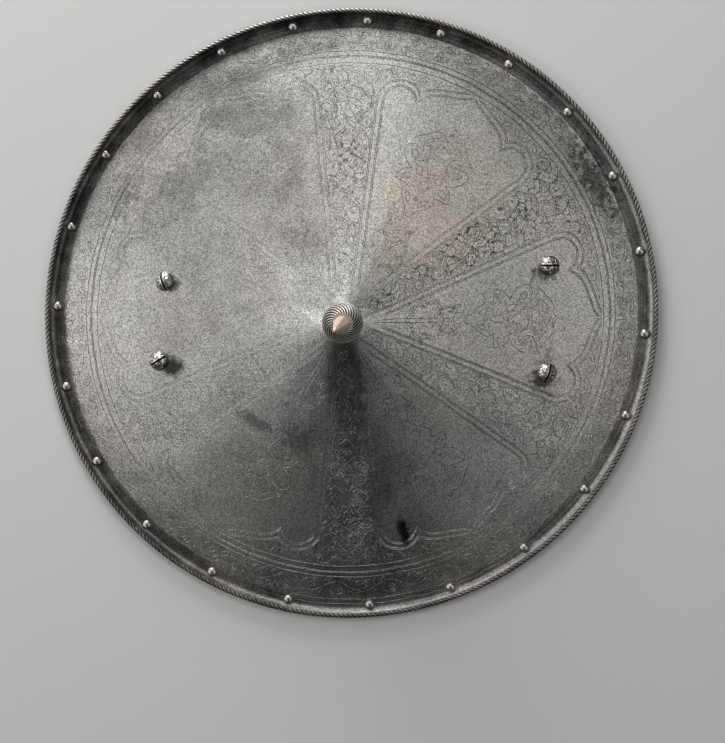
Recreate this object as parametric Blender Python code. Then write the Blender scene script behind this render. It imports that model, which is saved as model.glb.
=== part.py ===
"""A round steel shield of the sixteenth century, lying on its rim with the spike up.

One raised plate has an upturned rim with a thick bead along its edge. A writhen boss with a four-sided
spike is riveted through the crown, small domed rivets follow the rim, and four slotted strap screws
with square nuts stand where the arm straps fasten inside.

Metres, +Z up. The origin is under the middle of the plate, on the surface that the shield lies on.
"""

import math

import bmesh
import bpy
import numpy as np
from mathutils import Matrix, Vector

MM = 0.001

# Plate
RIM_RADIUS = 290 * MM
PLATE_THICKNESS = 1.5 * MM
DISH_RISE = 87.5 * MM
SEAT_RADIUS = 15.5 * MM
LAND_WIDTH = 8.1 * MM
TURN_RADIUS = 9 * MM
TURN_ANGLE = math.radians(54)
TURN_STEPS = 3
BEAD_RADIUS = 2.1 * MM
BEAD_SHOULDER = math.radians(130)
BEAD_STEPS = 4
FLARE_SHARE = 0.13
ROLL_SHARE = 0.06
FLARE_POWER = 5

# The plate was raised by hand, so it is wider along one axis than across it
OUT_OF_ROUND = 2.3 * MM
LONG_AXIS_ANGLE = math.radians(34)

# Incised lines: six bands that widen outward, and one ring round their ends
BAND_COUNT = 6
BAND_FIRST_ANGLE = math.radians(30)
BAND_ROOT_HALF_WIDTH = 9.9 * MM
BAND_SPREAD = 0.115
BAND_START = 38 * MM
BAND_END_GAP = 6.7 * MM
RING_LINE_INSET = 45.3 * MM
LINE_HALF_WIDTH = 0.6 * MM
LINE_DEPTH = 0.5 * MM

# Facets of the dish: columns in half a band and half a panel, and rings as shares of a band's length
BAND_COLUMNS = 3
PANEL_COLUMNS = 3
DISH_STEPS = (0.13, 0.31, 0.635)

# Boss and spike
BOSS_RADIUS = 18.8 * MM
BOSS_FOOT_DROP = 11.8 * MM
BOSS_NECK_RISE = 16 * MM
FLUTE_COUNT = 26
FLUTE_DEPTH = 1.1 * MM
FLUTE_TWIST = 0.8
BOSS_RING_COUNT = 7
SPIKE_LENGTH = 102 * MM
SPIKE_HALF_DIAGONAL = 9.6 * MM
SPIKE_TURN = math.radians(-5)
TANG_RADIUS = 5.5 * MM
TANG_HEAD_RADIUS = 9 * MM
TANG_HEAD_EDGE = 1.2 * MM
TANG_HEAD_BEVEL = 1.8 * MM
TANG_SIDES = 8

# Rim rivets, set by eye, so their spacing drifts round the rim
RIVET_COUNT = 23
RIVET_FIRST_ANGLE = math.radians(8.6)
RIVET_DRIFT = math.radians(3.15)
RIVET_DRIFT_PHASE = math.radians(-6.4)
RIVET_SECOND_DRIFT = math.radians(0.93)
RIVET_SECOND_DRIFT_PHASE = math.radians(17.7)
RIVET_INSET = 0.4 * MM
RIVET_HEAD_RADIUS = 4.75 * MM
RIVET_HEAD_HEIGHT = 3.8 * MM
RIVET_SHANK_RADIUS = 1.5 * MM
RIVET_TAIL_RADIUS = 2.2 * MM
RIVET_TAIL_DEPTH = 0.9 * MM
RIVET_SIDES = 8

# Strap screws: name, distance from the axis, angle round the plate, and angle of the slot seen from above
STRAP_SCREWS = (
    ("upper_left", 175 * MM, math.radians(168.9), math.radians(107)),
    ("lower_left", 182 * MM, math.radians(193.1), math.radians(32)),
    ("upper_right", 193.5 * MM, math.radians(14.6), math.radians(0)),
    ("lower_right", 193.5 * MM, math.radians(344.6), math.radians(70)),
)
SCREW_HEAD_RADIUS = 9.25 * MM
SCREW_HEAD_HEIGHT = 7.5 * MM
SCREW_EDGE_HEIGHT = 1.2 * MM
SCREW_SLOT_WIDTH = 2.2 * MM
SCREW_SLOT_DEPTH = 2.6 * MM
SCREW_SHANK_RADIUS = 3 * MM
SCREW_END_LENGTH = 1.5 * MM
SCREW_SIDES = 10
NUT_WIDTH = 12 * MM
NUT_THICKNESS = 5 * MM
NUT_RING_SIDES = 8

# Pieces that touch in the real shield keep this gap here
CLEARANCE = 0.3 * MM
CUTTER_OVERRUN = 3 * MM
DOME_STEPS = 3
SMOOTH_ANGLE = math.radians(35)

# What follows from the sizes above
RING_LINE_RADIUS = RIM_RADIUS - RING_LINE_INSET
BAND_END = RING_LINE_RADIUS - BAND_END_GAP
BEAD_CENTRE_RADIUS = RIM_RADIUS - BEAD_RADIUS
TURN_MIDDLE_RADIUS = TURN_RADIUS + PLATE_THICKNESS / 2
BEAD_REACH = math.sqrt(BEAD_RADIUS**2 - (PLATE_THICKNESS / 2) ** 2)
TURN_START = (
    BEAD_CENTRE_RADIUS
    - TURN_MIDDLE_RADIUS * math.sin(TURN_ANGLE)
    - BEAD_REACH * math.cos(TURN_ANGLE)
)
LAND_START = TURN_START - LAND_WIDTH
TURN_CENTRE_HEIGHT = PLATE_THICKNESS + TURN_RADIUS
BEAD_CENTRE_HEIGHT = (
    TURN_CENTRE_HEIGHT
    - TURN_MIDDLE_RADIUS * math.cos(TURN_ANGLE)
    + BEAD_REACH * math.sin(TURN_ANGLE)
)
RIVET_CIRCLE = TURN_START - RIVET_INSET
TANG_HOLE_RADIUS = TANG_RADIUS + CLEARANCE
NUT_HALF_DIAGONAL = NUT_WIDTH / math.sqrt(2)
SEAT_HEIGHT = PLATE_THICKNESS + DISH_RISE
BOSS_CENTRE_HEIGHT = SEAT_HEIGHT + CLEARANCE + BOSS_FOOT_DROP


def clear_scene():
    for old in list(bpy.data.objects):
        bpy.data.objects.remove(old, do_unlink=True)


def steel(name, colour, roughness):
    """A plain steel material for one sub-part."""
    material = bpy.data.materials.new(name)
    material.use_nodes = True
    shader = material.node_tree.nodes["Principled BSDF"]
    shader.inputs["Base Color"].default_value = (*colour, 1)
    shader.inputs["Metallic"].default_value = 1
    shader.inputs["Roughness"].default_value = roughness
    material.diffuse_color = (*colour, 1)
    return material


def add_object(name, mesh, material=None):
    if material and not mesh.materials:
        mesh.materials.append(material)
    made = bpy.data.objects.new(name, mesh)
    bpy.context.scene.collection.objects.link(made)
    return made


def add_cutter(name, mesh):
    """A shape that only cuts others, so it is hidden from renders."""
    cutter = add_object(name, mesh)
    cutter.hide_render = True
    cutter.display_type = "WIRE"
    return cutter


def shade_round(mesh):
    mesh.shade_smooth()
    mesh.set_sharp_from_angle(angle=SMOOTH_ANGLE)


def cut(target, cutter):
    hole = target.modifiers.new("cut_" + cutter.name, "BOOLEAN")
    hole.operation = "DIFFERENCE"
    hole.solver = "EXACT"
    hole.object = cutter


def mesh_from_rings(name, rings, closed_loop=False):
    """Skins equal rings of points one after the other.

    A closed loop of rings joins the last to the first. Otherwise the end rings are capped, and an end
    given as a single point is drawn together there.
    """
    shape = bmesh.new()
    rows = [[shape.verts.new(point) for point in ring] for ring in rings]
    pairs = list(zip(rows[:-1], rows[1:]))
    if closed_loop:
        pairs.append((rows[-1], rows[0]))
    for low, high in pairs:
        count = max(len(low), len(high))
        for i in range(count):
            j = (i + 1) % count
            if len(low) == 1:
                shape.faces.new((low[0], high[j], high[i]))
            elif len(high) == 1:
                shape.faces.new((low[i], low[j], high[0]))
            else:
                shape.faces.new((low[i], low[j], high[j], high[i]))
    if not closed_loop:
        if len(rows[0]) > 1:
            shape.faces.new(list(reversed(rows[0])))
        if len(rows[-1]) > 1:
            shape.faces.new(rows[-1])
    bmesh.ops.recalc_face_normals(shape, faces=shape.faces)
    mesh = bpy.data.meshes.new(name)
    shape.to_mesh(mesh)
    shape.free()
    return mesh


def ring_of_points(radius, height, sides, start=0.0):
    """A level circle of points about the Z axis, or one point where the radius is nought."""
    if radius == 0:
        return [Vector((0, 0, height))]
    step = 2 * math.pi / sides
    return [
        Vector((radius * math.cos(start + i * step), radius * math.sin(start + i * step), height))
        for i in range(sides)
    ]


def dome_profile(radius, height, base):
    """Points (radius, height) up a spherical cap of this size, between its edge and its top."""
    sphere = (radius**2 + height**2) / (2 * height)
    edge = 2 * math.atan(height / radius)
    top = base + height
    angles = [edge * step / DOME_STEPS for step in range(DOME_STEPS - 1, 0, -1)]
    return [(sphere * math.sin(a), top - sphere * (1 - math.cos(a))) for a in angles]


# Plate


def plan_scale(angle):
    """How far the plate stands out or in at this angle, as a share of its true radius."""
    return 1 + OUT_OF_ROUND / RIM_RADIUS * math.cos(2 * (angle - LONG_AXIS_ANGLE))


def plate_point(radius, angle, height):
    reach = radius * plan_scale(angle)
    return Vector((reach * math.cos(angle), reach * math.sin(angle), height))


def dish_height(radius):
    """Height of the plate's upper face between the boss's seat and the land at the rim."""
    out = (radius - SEAT_RADIUS) / (LAND_START - SEAT_RADIUS)
    cone = (1 - FLARE_SHARE - ROLL_SHARE) * (1 - out)
    flare = FLARE_SHARE * (1 - out) ** FLARE_POWER
    roll = ROLL_SHARE * (1 - out**FLARE_POWER)
    return PLATE_THICKNESS + DISH_RISE * (cone + flare + roll)


def dish_slope(radius):
    """Angle of the dish to the level, falling outward."""
    span = LAND_START - SEAT_RADIUS
    out = (radius - SEAT_RADIUS) / span
    cone = 1 - FLARE_SHARE - ROLL_SHARE
    flare = FLARE_SHARE * FLARE_POWER * (1 - out) ** (FLARE_POWER - 1)
    roll = ROLL_SHARE * FLARE_POWER * out ** (FLARE_POWER - 1)
    return math.atan(DISH_RISE / span * (cone + flare + roll))


def surface_height(radius):
    """Height of the plate's upper face on the land and on the first of the upturned rim."""
    past = max(0.0, radius - TURN_START)
    return TURN_CENTRE_HEIGHT - math.sqrt(TURN_RADIUS**2 - past**2)


def half_sector(radius, sag):
    """Angles of the columns from a band's middle to the middle of the panel beside it, and their sinks.

    Between its ends a band's edge holds three columns, the middle one sunk to make the incised line.
    Elsewhere the columns are even.
    """
    half = math.pi / BAND_COUNT
    columns = BAND_COLUMNS + PANEL_COLUMNS
    even = [half * i / columns for i in range(columns + 1)]
    level = [0.0] * len(even)
    if not BAND_START <= radius <= BAND_END:
        return even, level
    edge = math.asin((BAND_ROOT_HALF_WIDTH + BAND_SPREAD * radius) / radius)
    lip = LINE_HALF_WIDTH / radius
    outer = edge + lip
    panel = [outer + (half - outer) * i / PANEL_COLUMNS for i in range(1, PANEL_COLUMNS + 1)]
    level[BAND_COLUMNS - 1] = sag
    return [0.0, edge - lip, edge, outer] + panel, level


def plate_ring(radius, height, sag=0.0):
    """One ring of the plate's points, all round."""
    angles, sinks = half_sector(radius, sag)
    mirrored = list(zip(angles, sinks)) + [(-a, s) for a, s in reversed(list(zip(angles, sinks))[1:-1])]
    points = []
    for sector in range(BAND_COUNT):
        middle = BAND_FIRST_ANGLE + 2 * math.pi * sector / BAND_COUNT
        for angle, sink in sorted(mirrored):
            points.append(plate_point(radius, middle + angle, height - sink))
    return points


def dish_stations():
    """Radii of the rings of points on the dish, from its seat to the land."""
    middle = [BAND_START + (BAND_END - BAND_START) * step for step in DISH_STEPS]
    return [SEAT_RADIUS, BAND_START] + middle + [BAND_END]


def upper_rings():
    rings = [plate_ring(TANG_HOLE_RADIUS, SEAT_HEIGHT)]
    for radius in dish_stations():
        rings.append(plate_ring(radius, dish_height(radius), LINE_DEPTH))
    for radius, sink in (
        (RING_LINE_RADIUS - LINE_HALF_WIDTH, 0),
        (RING_LINE_RADIUS, LINE_DEPTH),
        (RING_LINE_RADIUS + LINE_HALF_WIDTH, 0),
    ):
        rings.append(plate_ring(radius, dish_height(radius) - sink))
    rings.append(plate_ring(LAND_START, PLATE_THICKNESS))
    return rings


def under_offset(radius, height, slope):
    """The point of the lower face straight through the plate from a point of the upper one."""
    return radius - PLATE_THICKNESS * math.sin(slope), height - PLATE_THICKNESS * math.cos(slope)


def under_profile():
    """Points (radius, height) of the plate's underside, from the land inward to the boss's seat."""
    land_bend = PLATE_THICKNESS * math.tan(dish_slope(LAND_START) / 2)
    seat_bend = PLATE_THICKNESS * math.tan(dish_slope(SEAT_RADIUS) / 2)
    points = [(LAND_START - land_bend, 0)]
    for radius in reversed(dish_stations()[1:]):
        points.append(under_offset(radius, dish_height(radius), dish_slope(radius)))
    points.append((SEAT_RADIUS - seat_bend, DISH_RISE))
    return points


def lower_rings():
    """Rings of the plate's underside, from the land inward to the tang's hole."""
    rings = [plate_ring(radius, height) for radius, height in under_profile()]
    rings.append(plate_ring(TANG_HOLE_RADIUS, DISH_RISE))
    return rings


def turn_rings(radius):
    """Rings of points up the upturned rim, at this distance from the middle of its curve."""
    rings = []
    for i in range(TURN_STEPS + 1):
        angle = TURN_ANGLE * i / TURN_STEPS
        reach = TURN_START + radius * math.sin(angle)
        rings.append(plate_ring(reach, TURN_CENTRE_HEIGHT - radius * math.cos(angle)))
    return rings


def bead_rings():
    """Rings of points round the bead, from the rim's inner face over the top to its outer face."""
    rings = []
    for i in range(BEAD_STEPS + 1):
        angle = TURN_ANGLE + BEAD_SHOULDER - 2 * BEAD_SHOULDER * i / BEAD_STEPS
        reach = BEAD_CENTRE_RADIUS + BEAD_RADIUS * math.cos(angle)
        rings.append(plate_ring(reach, BEAD_CENTRE_HEIGHT + BEAD_RADIUS * math.sin(angle)))
    return rings


def rivet_angle(number):
    even = 2 * math.pi * number / RIVET_COUNT
    drift = RIVET_DRIFT * math.cos(even - RIVET_DRIFT_PHASE)
    second = RIVET_SECOND_DRIFT * math.cos(2 * even - RIVET_SECOND_DRIFT_PHASE)
    return RIVET_FIRST_ANGLE + even + drift + second


def rivet_placement(number):
    """Places a rivet on the land, its own +X pointing outward."""
    angle = rivet_angle(number)
    return Matrix.Translation(plate_point(RIVET_CIRCLE, angle, 0)) @ Matrix.Rotation(angle, 4, "Z")


def screw_placement(radius, angle):
    """Places a strap screw square to the plate: +Z out of the upper face, +X away from the axis."""
    lean = Matrix.Rotation(dish_slope(radius), 4, "Y")
    turn = Matrix.Rotation(angle, 4, "Z")
    return Matrix.Translation(plate_point(radius, angle, dish_height(radius))) @ turn @ lean


def rivet_hole_mesh():
    """One rivet's hole: straight, with a countersink below for the spread tail."""
    straight = RIVET_SHANK_RADIUS + CLEARANCE
    mouth = RIVET_TAIL_RADIUS + CLEARANCE
    levels = (
        (mouth, -CUTTER_OVERRUN),
        (mouth, 0),
        (straight, RIVET_TAIL_DEPTH + CLEARANCE),
        (straight, PLATE_THICKNESS + CUTTER_OVERRUN),
    )
    rings = [ring_of_points(radius, height, RIVET_SIDES) for radius, height in levels]
    return mesh_from_rings("rivet_hole", rings)


def hole_cutter():
    """All the rivet and screw holes as one cutter."""
    holes = bmesh.new()
    rivet_hole = rivet_hole_mesh()
    screw_radius = SCREW_SHANK_RADIUS + CLEARANCE
    screw_reach = PLATE_THICKNESS + CUTTER_OVERRUN
    screw_rings = [
        ring_of_points(screw_radius, -screw_reach, SCREW_SIDES),
        ring_of_points(screw_radius, screw_reach, SCREW_SIDES),
    ]
    screw_hole = mesh_from_rings("screw_hole", screw_rings)
    places = [(rivet_hole, rivet_placement(number)) for number in range(RIVET_COUNT)]
    places += [(screw_hole, screw_placement(radius, angle)) for _, radius, angle, _ in STRAP_SCREWS]
    for mesh, place in places:
        piece = mesh.copy()
        piece.transform(place)
        holes.from_mesh(piece)
        bpy.data.meshes.remove(piece)
    mesh = bpy.data.meshes.new("plate_holes")
    holes.to_mesh(mesh)
    holes.free()
    return add_cutter("plate_holes", mesh)


def build_plate():
    """The raised plate with its upturned rim and bead, pierced for everything that fastens through it."""
    upper_turn = turn_rings(TURN_RADIUS)
    lower_turn = turn_rings(TURN_RADIUS + PLATE_THICKNESS)
    rings = upper_rings() + upper_turn + bead_rings() + lower_turn[::-1] + lower_rings()
    mesh = mesh_from_rings("shield_plate", rings, closed_loop=True)
    shade_round(mesh)
    plate = add_object("shield_plate", mesh, steel("etched_steel", (0.48, 0.47, 0.44), 0.42))
    cut(plate, hole_cutter())
    return plate


# Boss and spike


def boss_ring(polar):
    """A ring of the boss at this angle down from its top, waved by the flutes and turned with them."""
    points = []
    count = 2 * FLUTE_COUNT
    for i in range(count):
        wave = FLUTE_DEPTH / 2 * (1 if i % 2 else -1)
        angle = 2 * math.pi * i / count + FLUTE_TWIST * polar
        reach = (BOSS_RADIUS - FLUTE_DEPTH / 2 + wave) * math.sin(polar)
        height = BOSS_RADIUS * math.cos(polar)
        points.append(Vector((reach * math.cos(angle), reach * math.sin(angle), height)))
    return points


def square_ring(half_diagonal, height, turn, count, start):
    """A level square of points, its corners on the axes turned by this angle, spread evenly in angle."""
    points = []
    for i in range(count):
        angle = 2 * math.pi * i / count + start
        side = (angle - turn) % (math.pi / 2) - math.pi / 4
        reach = half_diagonal * math.cos(math.pi / 4) / math.cos(side)
        points.append(Vector((reach * math.cos(angle), reach * math.sin(angle), height)))
    return points


def boss_mesh():
    """The writhen boss with the four-sided spike rising from its neck, closed below by a flat foot."""
    foot = math.acos(-BOSS_FOOT_DROP / BOSS_RADIUS)
    neck = math.acos(BOSS_NECK_RISE / BOSS_RADIUS)
    last = BOSS_RING_COUNT - 1
    polars = [foot + (neck - foot) * i / last for i in range(BOSS_RING_COUNT)]
    rings = [boss_ring(polar) for polar in polars]
    # The square starts where the flutes end, so that its points follow theirs
    count = 2 * FLUTE_COUNT
    start = FLUTE_TWIST * neck
    rings.append(square_ring(SPIKE_HALF_DIAGONAL, BOSS_NECK_RISE, SPIKE_TURN, count, start))
    tip = BOSS_NECK_RISE + SPIKE_LENGTH
    rings.append([Vector((0, 0, tip))])
    return mesh_from_rings("boss_and_spike", rings)


def tang_mesh():
    """The tang below the boss, spread over behind the plate."""
    seat = BOSS_CENTRE_HEIGHT - SEAT_HEIGHT
    behind = seat + PLATE_THICKNESS + CLEARANCE
    edge = behind + TANG_HEAD_EDGE
    levels = (
        (TANG_HEAD_RADIUS - TANG_HEAD_BEVEL, -edge - TANG_HEAD_BEVEL),
        (TANG_HEAD_RADIUS, -edge),
        (TANG_HEAD_RADIUS, -behind),
        (TANG_RADIUS, -behind),
        (TANG_RADIUS, 0),
    )
    return mesh_from_rings("tang", [ring_of_points(r, z, TANG_SIDES) for r, z in levels])


def build_spike():
    mesh = boss_mesh()
    shade_round(mesh)
    spike = add_object("spike", mesh, steel("spike_steel", (0.50, 0.47, 0.43), 0.3))
    spike.location.z = BOSS_CENTRE_HEIGHT
    tang = add_cutter("tang_form", tang_mesh())
    tang.location.z = BOSS_CENTRE_HEIGHT
    join = spike.modifiers.new("tang", "BOOLEAN")
    join.operation = "UNION"
    join.solver = "EXACT"
    join.object = tang


# Rim rivets


def rivet_mesh():
    """A domed rivet seen from its hole: the head's edge is dressed down to follow the plate under it."""
    seat = PLATE_THICKNESS + CLEARANCE
    head = ring_of_points(RIVET_HEAD_RADIUS, 0, RIVET_SIDES)
    for point in head:
        point.z = surface_height(RIVET_CIRCLE + point.x) + CLEARANCE
    dome = dome_profile(RIVET_HEAD_RADIUS, RIVET_HEAD_HEIGHT, seat)
    rings = [
        ring_of_points(RIVET_TAIL_RADIUS, CLEARANCE, RIVET_SIDES),
        ring_of_points(RIVET_SHANK_RADIUS, RIVET_TAIL_DEPTH, RIVET_SIDES),
        ring_of_points(RIVET_SHANK_RADIUS, seat, RIVET_SIDES),
        head,
    ]
    rings += [ring_of_points(radius, height, RIVET_SIDES) for radius, height in dome]
    rings.append([Vector((0, 0, seat + RIVET_HEAD_HEIGHT))])
    return mesh_from_rings("rim_rivet", rings)


def build_rivets():
    mesh = rivet_mesh()
    shade_round(mesh)
    material = steel("rivet_steel", (0.42, 0.41, 0.39), 0.38)
    for number in range(RIVET_COUNT):
        rivet = add_object(f"rim_rivet_{number + 1:02d}", mesh, material)
        rivet.matrix_world = rivet_placement(number)


# Strap screws and nuts


def facet_sag(radius):
    """How far the flat faces of the plate stand off its true curve here."""
    widest = math.pi / BAND_COUNT / PANEL_COLUMNS
    return radius * (1 - math.cos(widest / 2)) * math.tan(dish_slope(radius))


def depth_behind(radius, reach):
    """How deep the plate goes below a screw's seat, at most, within this reach of the screw.

    The plate rounds over towards the rim, so a flat nut meets it first on its outer side.
    """
    slope = dish_slope(radius)
    seat = Vector((radius, dish_height(radius)))
    outward = Vector((math.cos(slope), -math.sin(slope)))
    inward = Vector((-math.sin(slope), -math.cos(slope)))
    under = [Vector(point) - seat for point in reversed(under_profile())]
    places = [point.dot(outward) for point in under]
    depths = [point.dot(inward) for point in under]
    near = [-reach, reach] + [place for place in places if abs(place) < reach]
    return max(np.interp(near, places, depths))


def screw_mesh(nut_face):
    """A domed, slotted screw. Its origin is on the plate's upper face, and its nut ends at this depth."""
    end = nut_face + SCREW_END_LENGTH
    dome_height = SCREW_HEAD_HEIGHT - SCREW_EDGE_HEIGHT
    dome_base = CLEARANCE + SCREW_EDGE_HEIGHT
    levels = [
        (SCREW_SHANK_RADIUS, -end),
        (SCREW_SHANK_RADIUS, CLEARANCE),
        (SCREW_HEAD_RADIUS, CLEARANCE),
        (SCREW_HEAD_RADIUS, dome_base),
    ]
    levels += dome_profile(SCREW_HEAD_RADIUS, dome_height, dome_base)
    levels.append((0, CLEARANCE + SCREW_HEAD_HEIGHT))
    return mesh_from_rings("strap_screw", [ring_of_points(r, z, SCREW_SIDES) for r, z in levels])


def slot_cutter():
    """A box across the top of the head, along the screw's own X."""
    slot = bmesh.new()
    bmesh.ops.create_cube(slot, size=1)
    length = 2 * (SCREW_HEAD_RADIUS + CUTTER_OVERRUN)
    bmesh.ops.scale(slot, vec=(length, SCREW_SLOT_WIDTH, 2 * SCREW_SLOT_DEPTH), verts=slot.verts)
    top = CLEARANCE + SCREW_HEAD_HEIGHT
    bmesh.ops.translate(slot, vec=(0, 0, top), verts=slot.verts)
    mesh = bpy.data.meshes.new("screw_slot")
    slot.to_mesh(mesh)
    slot.free()
    return add_cutter("screw_slot", mesh)


def slotted_screw_mesh(nut_face):
    """The screw with its slot cut, as one mesh that all four share."""
    blank = add_object("screw_blank", screw_mesh(nut_face))
    cutter = slot_cutter()
    cut(blank, cutter)
    graph = bpy.context.evaluated_depsgraph_get()
    mesh = bpy.data.meshes.new_from_object(blank.evaluated_get(graph))
    bpy.data.objects.remove(blank)
    bpy.data.objects.remove(cutter)
    return mesh


def nut_mesh(face):
    """A square nut under the plate, its upper face at this depth below the plate's upper face."""
    bore = SCREW_SHANK_RADIUS + CLEARANCE
    corners = math.pi / 4
    low = -face - NUT_THICKNESS
    rings = [
        ring_of_points(bore, -face, NUT_RING_SIDES, corners),
        ring_of_points(bore, low, NUT_RING_SIDES, corners),
        square_ring(NUT_HALF_DIAGONAL, low, corners, NUT_RING_SIDES, corners),
        square_ring(NUT_HALF_DIAGONAL, -face, corners, NUT_RING_SIDES, corners),
    ]
    return mesh_from_rings("strap_nut", rings, closed_loop=True)


def build_screws():
    material = steel("screw_steel", (0.46, 0.45, 0.43), 0.3)
    nut_material = steel("nut_steel", (0.30, 0.29, 0.27), 0.5)
    seats = [radius for _, radius, _, _ in STRAP_SCREWS]
    nut_top = CLEARANCE + max(depth_behind(radius, NUT_HALF_DIAGONAL) + facet_sag(radius) for radius in seats)
    screw = slotted_screw_mesh(nut_top + NUT_THICKNESS)
    shade_round(screw)
    nut = nut_mesh(nut_top)
    for name, radius, angle, slot_angle in STRAP_SCREWS:
        place = screw_placement(radius, angle)
        turn = Matrix.Rotation(slot_angle - angle, 4, "Z")
        add_object("strap_screw_" + name, screw, material).matrix_world = place @ turn
        add_object("strap_nut_" + name, nut, nut_material).matrix_world = place


def main():
    clear_scene()
    build_plate()
    build_spike()
    build_rivets()
    build_screws()


main()
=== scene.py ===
"""Looks of a round steel shield that lies on its rim: the engraved plate, its roped edge, the writhen
boss and spike, rivets, screws and nuts, worn steel, a pale floor, soft light and the camera.

Values and functions here are in millimetres and are turned into metres where a mesh is made.
"""

import math
import random

import bpy
import numpy as np
from mathutils import Matrix, Vector, geometry, kdtree


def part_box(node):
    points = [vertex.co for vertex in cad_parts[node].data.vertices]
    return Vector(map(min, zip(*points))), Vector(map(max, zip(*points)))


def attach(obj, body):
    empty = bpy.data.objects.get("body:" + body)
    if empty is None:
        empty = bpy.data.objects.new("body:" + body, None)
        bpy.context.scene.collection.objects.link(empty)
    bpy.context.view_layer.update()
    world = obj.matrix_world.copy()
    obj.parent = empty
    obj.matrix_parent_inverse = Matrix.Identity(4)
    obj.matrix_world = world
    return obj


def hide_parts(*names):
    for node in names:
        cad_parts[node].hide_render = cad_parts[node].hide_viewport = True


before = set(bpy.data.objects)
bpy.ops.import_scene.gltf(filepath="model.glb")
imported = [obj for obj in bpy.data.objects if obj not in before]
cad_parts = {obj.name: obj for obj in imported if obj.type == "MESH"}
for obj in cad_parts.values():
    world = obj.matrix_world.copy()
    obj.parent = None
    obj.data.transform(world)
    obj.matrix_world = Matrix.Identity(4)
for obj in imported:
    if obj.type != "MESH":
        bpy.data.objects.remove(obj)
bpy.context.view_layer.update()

MM = 0.001
BODY = "root"
CORNERS = ((-1, -1), (1, -1), (1, 1), (-1, 1))

# Camera, where the photograph was taken from
CAMERA_PLACE = (171.6, 170.2, 2588.7)
CAMERA_LOOK = (-0.06134, -0.08585, -0.99442)
CAMERA_LENS = 132.79
CAMERA_SENSOR = 36
CAMERA_FAR = 50

# Soft lights: angle round the shield, angle down from overhead, watts, width
LIGHT_DISTANCE = 2500
LIGHTS = (
    ("over_right", 30, 32, 3.2, 800),
    ("head_right", 60, 32, 1.8, 800),
    ("over_head", 90, 32, 3.3, 800),
    ("head_left", 150, 32, 4.7, 800),
    ("foot_right", 330, 32, 1.2, 800),
    ("right", 0, 46, 3.4, 800),
    ("head", 90, 46, 4.2, 800),
    ("lower_left", 210, 46, 3.2, 800),
    ("foot_left", 240, 46, 0.9, 800),
    ("foot", 300, 46, 1, 800),
    ("lower_right", 330, 46, 1.8, 800),
    ("low_left", 180, 62, 13.6, 1600),
    ("low_corner", 135, 76, 19, 1800),
    ("low_head", 105, 76, 44, 1000),
)

# Stains on the plate, painted shadows beside the screws, painted shade below the boss and a painted highlight
# by it: strength, tint, then place in plan, half length, half width, heading, raggedness
PAINTED_HIGHLIGHT_TINT = (0.56, 0.555, 0.52)
WARM_TINT = (0.47, 0.405, 0.345)
GREEN_TINT = (0.33, 0.35, 0.31)
DARK_STAIN_AND_SHADOW_TINT = (0.035, 0.034, 0.03)
PLATE_STAINS_AND_PAINTED_LIGHT = (
    (0.55, WARM_TINT, (85, 95, 95, 60, 50, 0.4)),
    (0.5, GREEN_TINT, (150, 130, 60, 36, 40, 0.4)),
    (0.45, GREEN_TINT, (-70, -150, 110, 50, 10, 0.4)),
    (1, DARK_STAIN_AND_SHADOW_TINT, (52, -203, 17, 5.6, 103, 0.2)),
    (0.6, DARK_STAIN_AND_SHADOW_TINT, (-86, -97, 20, 7, -28, 0.3)),
    (0.36, DARK_STAIN_AND_SHADOW_TINT, (-48, -112, 20, 12, -20, 0.6)),
    (0.7, DARK_STAIN_AND_SHADOW_TINT, (229, 131, 36, 13, 120, 0.7)),
    (0.4, DARK_STAIN_AND_SHADOW_TINT, (184, -54, 26, 10, 90, 0.7)),
    (0.35, DARK_STAIN_AND_SHADOW_TINT, (-215, 110, 26, 12, 60, 0.7)),
    # A pale patch at the upper left of the boss: a painted highlight
    (0.85, PAINTED_HIGHLIGHT_TINT, (-32, 30, 46, 30, 130, 0.35)),
    # A dark streak below the boss: painted shade
    (0.5, DARK_STAIN_AND_SHADOW_TINT, (1, -50, 78, 21, 90, 0.25)),
    # Dark patches to the right of the two left screws: painted shadows
    (0.85, DARK_STAIN_AND_SHADOW_TINT, (-165, 31, 9, 8, -20, 0.3)),
    (0.97, DARK_STAIN_AND_SHADOW_TINT, (-166, -46, 14, 11, -20, 0.2)),
    (0.22, DARK_STAIN_AND_SHADOW_TINT, (-100, 184, 46, 22, -20, 0.4)),
    (0.3, DARK_STAIN_AND_SHADOW_TINT, (-153, 122, 44, 22, 45, 0.6)),
    # Dark patches to the left of and below the two right screws: painted shadows
    (0.85, DARK_STAIN_AND_SHADOW_TINT, (184.5, 44, 14, 11, 10, 0.4)),
    (0.85, DARK_STAIN_AND_SHADOW_TINT, (182.5, -56, 15, 11, 0, 0.4)),
)

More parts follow.
